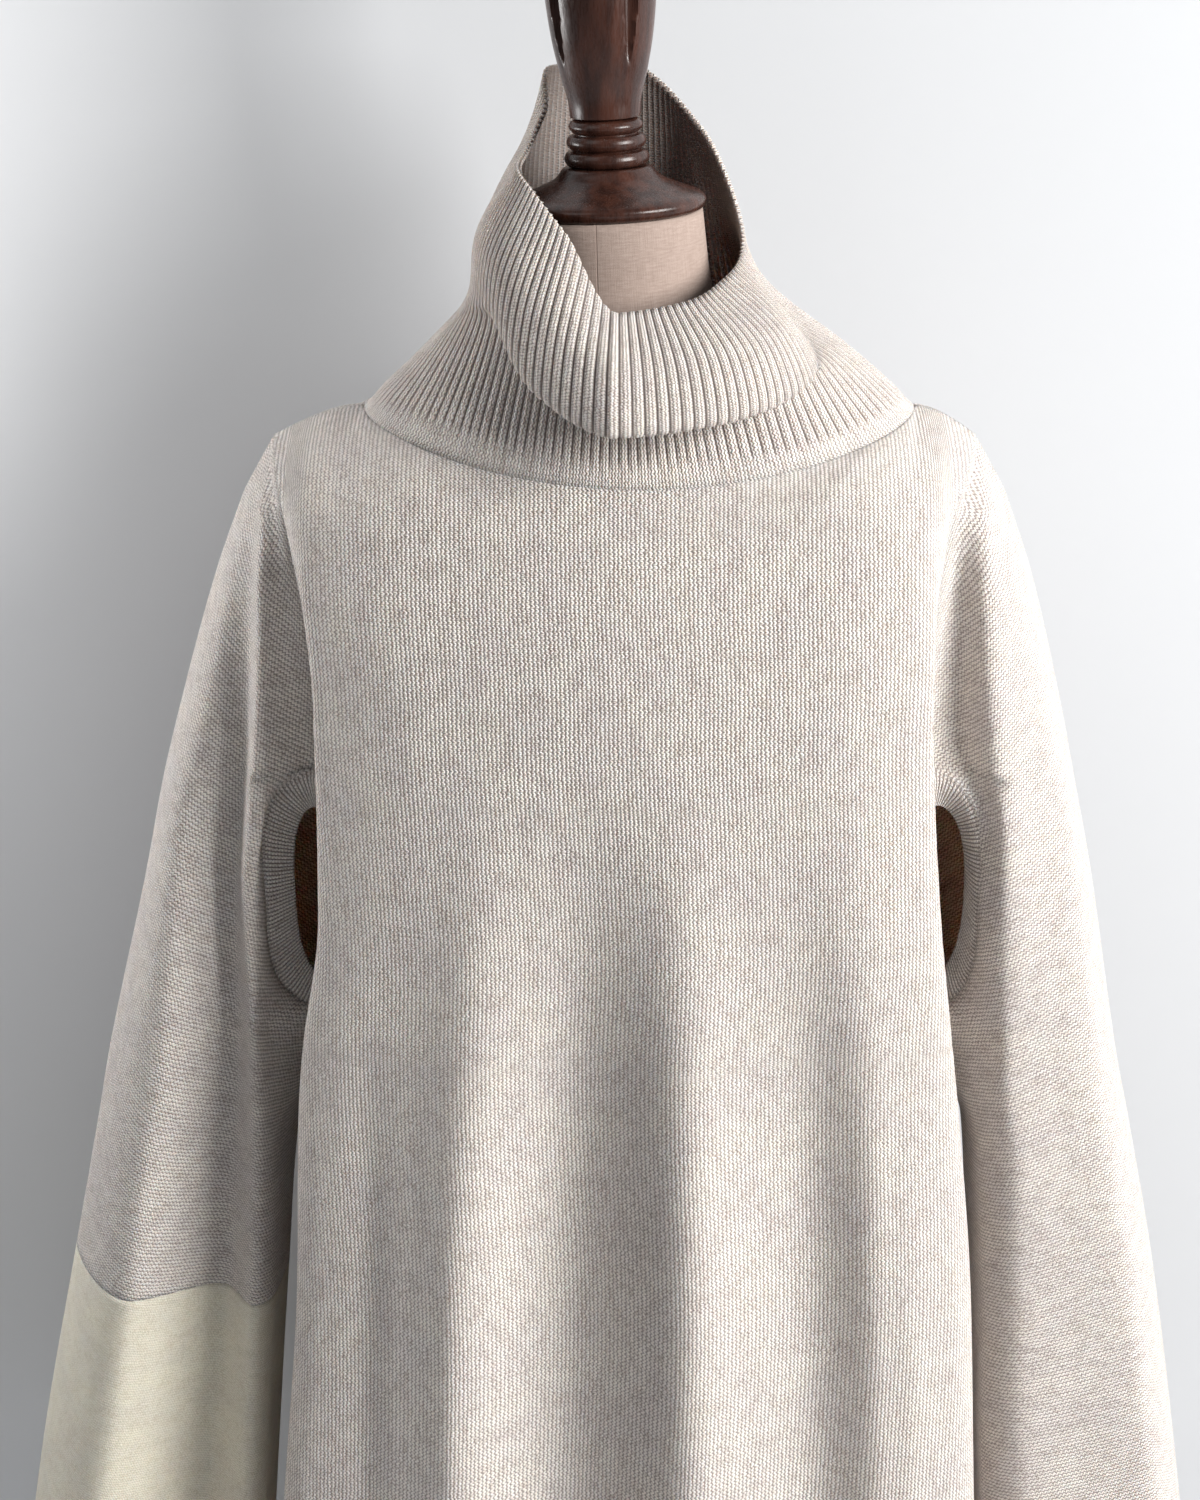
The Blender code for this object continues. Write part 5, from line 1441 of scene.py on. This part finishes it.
@dataclass
class Studio:
    """A pale floor and wall, their paint painted lighter to one side, a soft light from the front on
    the wearer's left, a camera.
    """

    camera_place: Vector = field(default_factory=lambda: Vector((-0.010, -1.67, 1.69)))
    camera_down: float = 18.5
    lens: float = 72.0
    sensor: float = 36.0
    wall_y: float = 0.19
    wall_height: float = 3.6
    floor_reach: float = 4.0
    # painted light: two paint colours that make the wall and floor dimmer on one side and paler on
    # the other, changing between these two x
    paint_painted_dim: Colour = (0.58, 0.595, 0.615)
    paint_painted_bright: Colour = (0.74, 0.755, 0.775)
    painted_bright_between: tuple[float, float] = (-0.1, -0.4)
    sky: Colour = (0.92, 0.95, 1.0)
    sky_strength: float = 0.13

    def paint(self) -> bpy.types.Material:
        """Pale wall paint with painted light: paler towards one side and dimmer towards the other,
        the change wobbled by a faint mottle; clear from behind.
        """
        made, g, shader = start_material("wall_paint_painted_light")
        place = g.node("TexCoord").outputs["Object"]
        mottle = g.noise(place, 3.0, 4.0)
        across = g.node("SeparateXYZ", {0: place}).outputs[0]
        # painted light: the paint turns from dim to pale across x, its edge wobbled by the mottle
        side = g.remap(g.math("ADD", across, g.math("MULTIPLY", mottle, 0.04)),
                       *self.painted_bright_between)
        base = g.shade(side, (*self.paint_painted_dim, 1.0), (*self.paint_painted_bright, 1.0))
        g.fill(shader, {"Base Color": base, "Roughness": 0.9})
        back = g.node("NewGeometry").outputs["Backfacing"]
        clear = g.node("BsdfTransparent")
        mixed = g.node("MixShader", {0: back, 1: shader.outputs[0], 2: clear.outputs[0]})
        g.fill(g.tree.nodes["Material Output"], {"Surface": mixed.outputs[0]})
        return made

    def add_stage(self, name: str, corners: list[tuple], finish: bpy.types.Material) -> None:
        """Add a flat sheet of the stage."""
        mesh = bpy.data.meshes.new(name)
        mesh.from_pydata(corners, [], [(0, 1, 2, 3)])
        mesh.materials.append(finish)
        made = bpy.data.objects.new(name, mesh)
        bpy.context.scene.collection.objects.link(made)

    def build_stage(self) -> None:
        """Add the floor, and the wall close behind the dress."""
        paint = self.paint()
        r, y, top = self.floor_reach, self.wall_y, self.wall_height
        self.add_stage("floor", [(-r, -r, 0), (r, -r, 0), (r, r, 0), (-r, r, 0)], paint)
        self.add_stage("wall", [(-r, y, 0), (r, y, 0), (r, y, top), (-r, y, top)], paint)

    def add_lamp(self, name: str, kind: str, place: tuple, aim: tuple,
                 **settings: object) -> None:
        """Add a lamp that looks at a point and that the camera doesn't see.

        Args:
            name: the lamp's name.
            kind: AREA or SPOT.
            place: where it is.
            aim: the point that it looks at.
            settings: values of the lamp's properties.
        """
        lamp = bpy.data.lights.new(name, kind)
        for key, value in settings.items():
            setattr(lamp, key, value)
        made = bpy.data.objects.new(name, lamp)
        made.location = place
        way = Vector(aim) - Vector(place)
        made.rotation_euler = way.to_track_quat("-Z", "Y").to_euler()
        made.visible_camera = False
        bpy.context.scene.collection.objects.link(made)

    def build_lights(self) -> None:
        """Add a wide window light, three small helps to it, and the sky."""
        self.add_lamp("window", "AREA", (2.2, -1.35, 2.2), (0.0, 0.0, 1.1),
                      size=1.5, energy=150.0, color=(1.0, 0.985, 0.965))
        self.add_lamp("ceiling", "AREA", (-1.2, -1.0, 2.7), (-0.3, 0.0, 1.5),
                      size=1.2, energy=5.0, color=(1.0, 0.985, 0.97))
        self.add_lamp("side_wash", "AREA", (-0.9, 0.12, 1.4), (-0.4, 0.19, 1.3),
                      size=0.3, energy=6.0, color=(1.0, 0.99, 0.98))
        self.add_lamp("collar_bounce", "SPOT", (-0.05, -0.25, 2.2), (0.064, 0.04, 1.455),
                      energy=11.0, spot_size=math.radians(9.0), spot_blend=1.0,
                      shadow_soft_size=0.05)
        world = bpy.data.worlds.new("room")
        bpy.context.scene.world = world
        world.use_nodes = True
        ground = world.node_tree.nodes["Background"]
        ground.inputs["Color"].default_value = (*self.sky, 1.0)
        ground.inputs["Strength"].default_value = self.sky_strength

    def build_camera(self) -> None:
        """Add the camera, which looks down a little from in front."""
        lens = bpy.data.cameras.new("camera")
        lens.lens = self.lens
        lens.sensor_fit = "VERTICAL"
        lens.sensor_height = self.sensor
        camera = bpy.data.objects.new("camera", lens)
        camera.location = self.camera_place
        camera.rotation_euler = (math.pi / 2 - math.radians(self.camera_down), 0.0, 0.0)
        bpy.context.scene.collection.objects.link(camera)
        bpy.context.scene.camera = camera
        bpy.context.scene.view_settings.view_transform = "Standard"


# ------------------------------------------------------------------ the whole


FRONT_CREASES = (
    Crease((-14.2, -30.0), (-16.0, -78.0), 0.9, -0.35, 0.4),
    Crease((-12.4, -38.0), (-13.6, -90.0), 0.8, 0.25),
    Crease((-9.6, -36.0), (-11.0, -98.0), 0.8, 0.3),
    Crease((15.6, -28.0), (17.6, -84.0), 0.9, -0.3, -0.3),
)
BACK_CREASES = (
    Crease((-15.0, -30.0), (-16.4, -80.0), 0.9, -0.35, 0.4),
    Crease((4.2, -36.0), (4.8, -92.0), 1.2, 0.25),
    Crease((16.0, -32.0), (17.6, -84.0), 0.9, -0.3, -0.3),
)


def build_dress() -> None:
    """Build the dress: its body, its sleeves with their bands, and its collar."""
    stitches, yarn = stitch_group(), melange_group()
    # the hollow colour is painted shade for the hollows between stitches
    shades = dict(light=(0.96, 0.91, 0.875), middle=(0.82, 0.755, 0.715),
                  dark=(0.54, 0.475, 0.44), hollow=(0.17, 0.135, 0.12))
    heather = KnitFinish("heather_knit", **shades).build(stitches, yarn)
    collar_rib = KnitFinish("heather_rib", **shades, rib_pitch=RIB_STITCHES * STITCH,
                            rib_start=0.013).build(stitches, yarn)
    band_rib = KnitFinish("heather_band", **shades, rib_pitch=STITCH).build(stitches, yarn)
    # the hollow colour is painted shade for the hollows between stitches
    cream = KnitFinish(
        "cream_knit", light=(0.90, 0.86, 0.76), middle=(0.80, 0.75, 0.64),
        dark=(0.68, 0.62, 0.50), hollow=(0.42, 0.37, 0.28), painted_shade_share=0.5,
        column=0.0017, course=0.0016, relief=0.0003).build(stitches, yarn)

    front = Panel(Half.FRONT, FRONT_ROWS, NECK_FRONT, FRONT_FOLDS, FRONT_CREASES,
                  flat=(0.66, 1.02), area=0.57)
    back = Panel(Half.BACK, BACK_ROWS, NECK_BACK, BACK_FOLDS, BACK_CREASES,
                 flat=(0.66, 1.04), area=0.58)
    front.build(heather)
    back.build(heather)
    for sleeve in (
        Sleeve(Side.RIGHT, RIGHT_SLEEVE, RIGHT_SLIT, flat=(0.56, 0.50), area=0.19,
               block_flat=(0.44, 0.28), block_area=0.115),
        Sleeve(Side.LEFT, LEFT_SLEEVE, LEFT_SLIT, flat=(0.56, 0.76), area=0.3),
    ):
        sleeve.fit(front, back)
        sleeve.build(heather, cream)
        ArmBand(flat=(0.38, 0.026)).build(front, sleeve, band_rib)
    Collar(flat=(0.60, 0.24)).build(front, back, collar_rib)


def build_form() -> None:
    """Build the dress form: its linen torso and everything that is turned from wood."""
    linen = LinenFinish("linen", (0.42, 0.33, 0.285), (0.31, 0.235, 0.20)).build()
    wood = WoodFinish("dark_wood", (0.060, 0.022, 0.014), (0.026, 0.010, 0.007)).build()
    Torso().build(linen)
    for turning in (
        Turning("neck_plate", PLATE_PROFILE, leans=True),
        Turning("neck_beads", BEADS_PROFILE, leans=True),
        Turning("finial", FINIAL_PROFILE, leans=True, grooved=True, sides=180),
        Turning("form_socket", SOCKET_PROFILE),
        Turning("pole", POLE_PROFILE),
        Turning("base", BASE_PROFILE),
    ):
        turning.build(wood)


def main() -> None:
    """Build every piece of the dress and its form, then the studio."""
    logging.basicConfig(level=logging.INFO, format="%(name)s %(message)s")
    build_dress()
    build_form()
    studio = Studio()
    studio.build_stage()
    studio.build_lights()
    studio.build_camera()


if __name__ == "__main__":
    main()
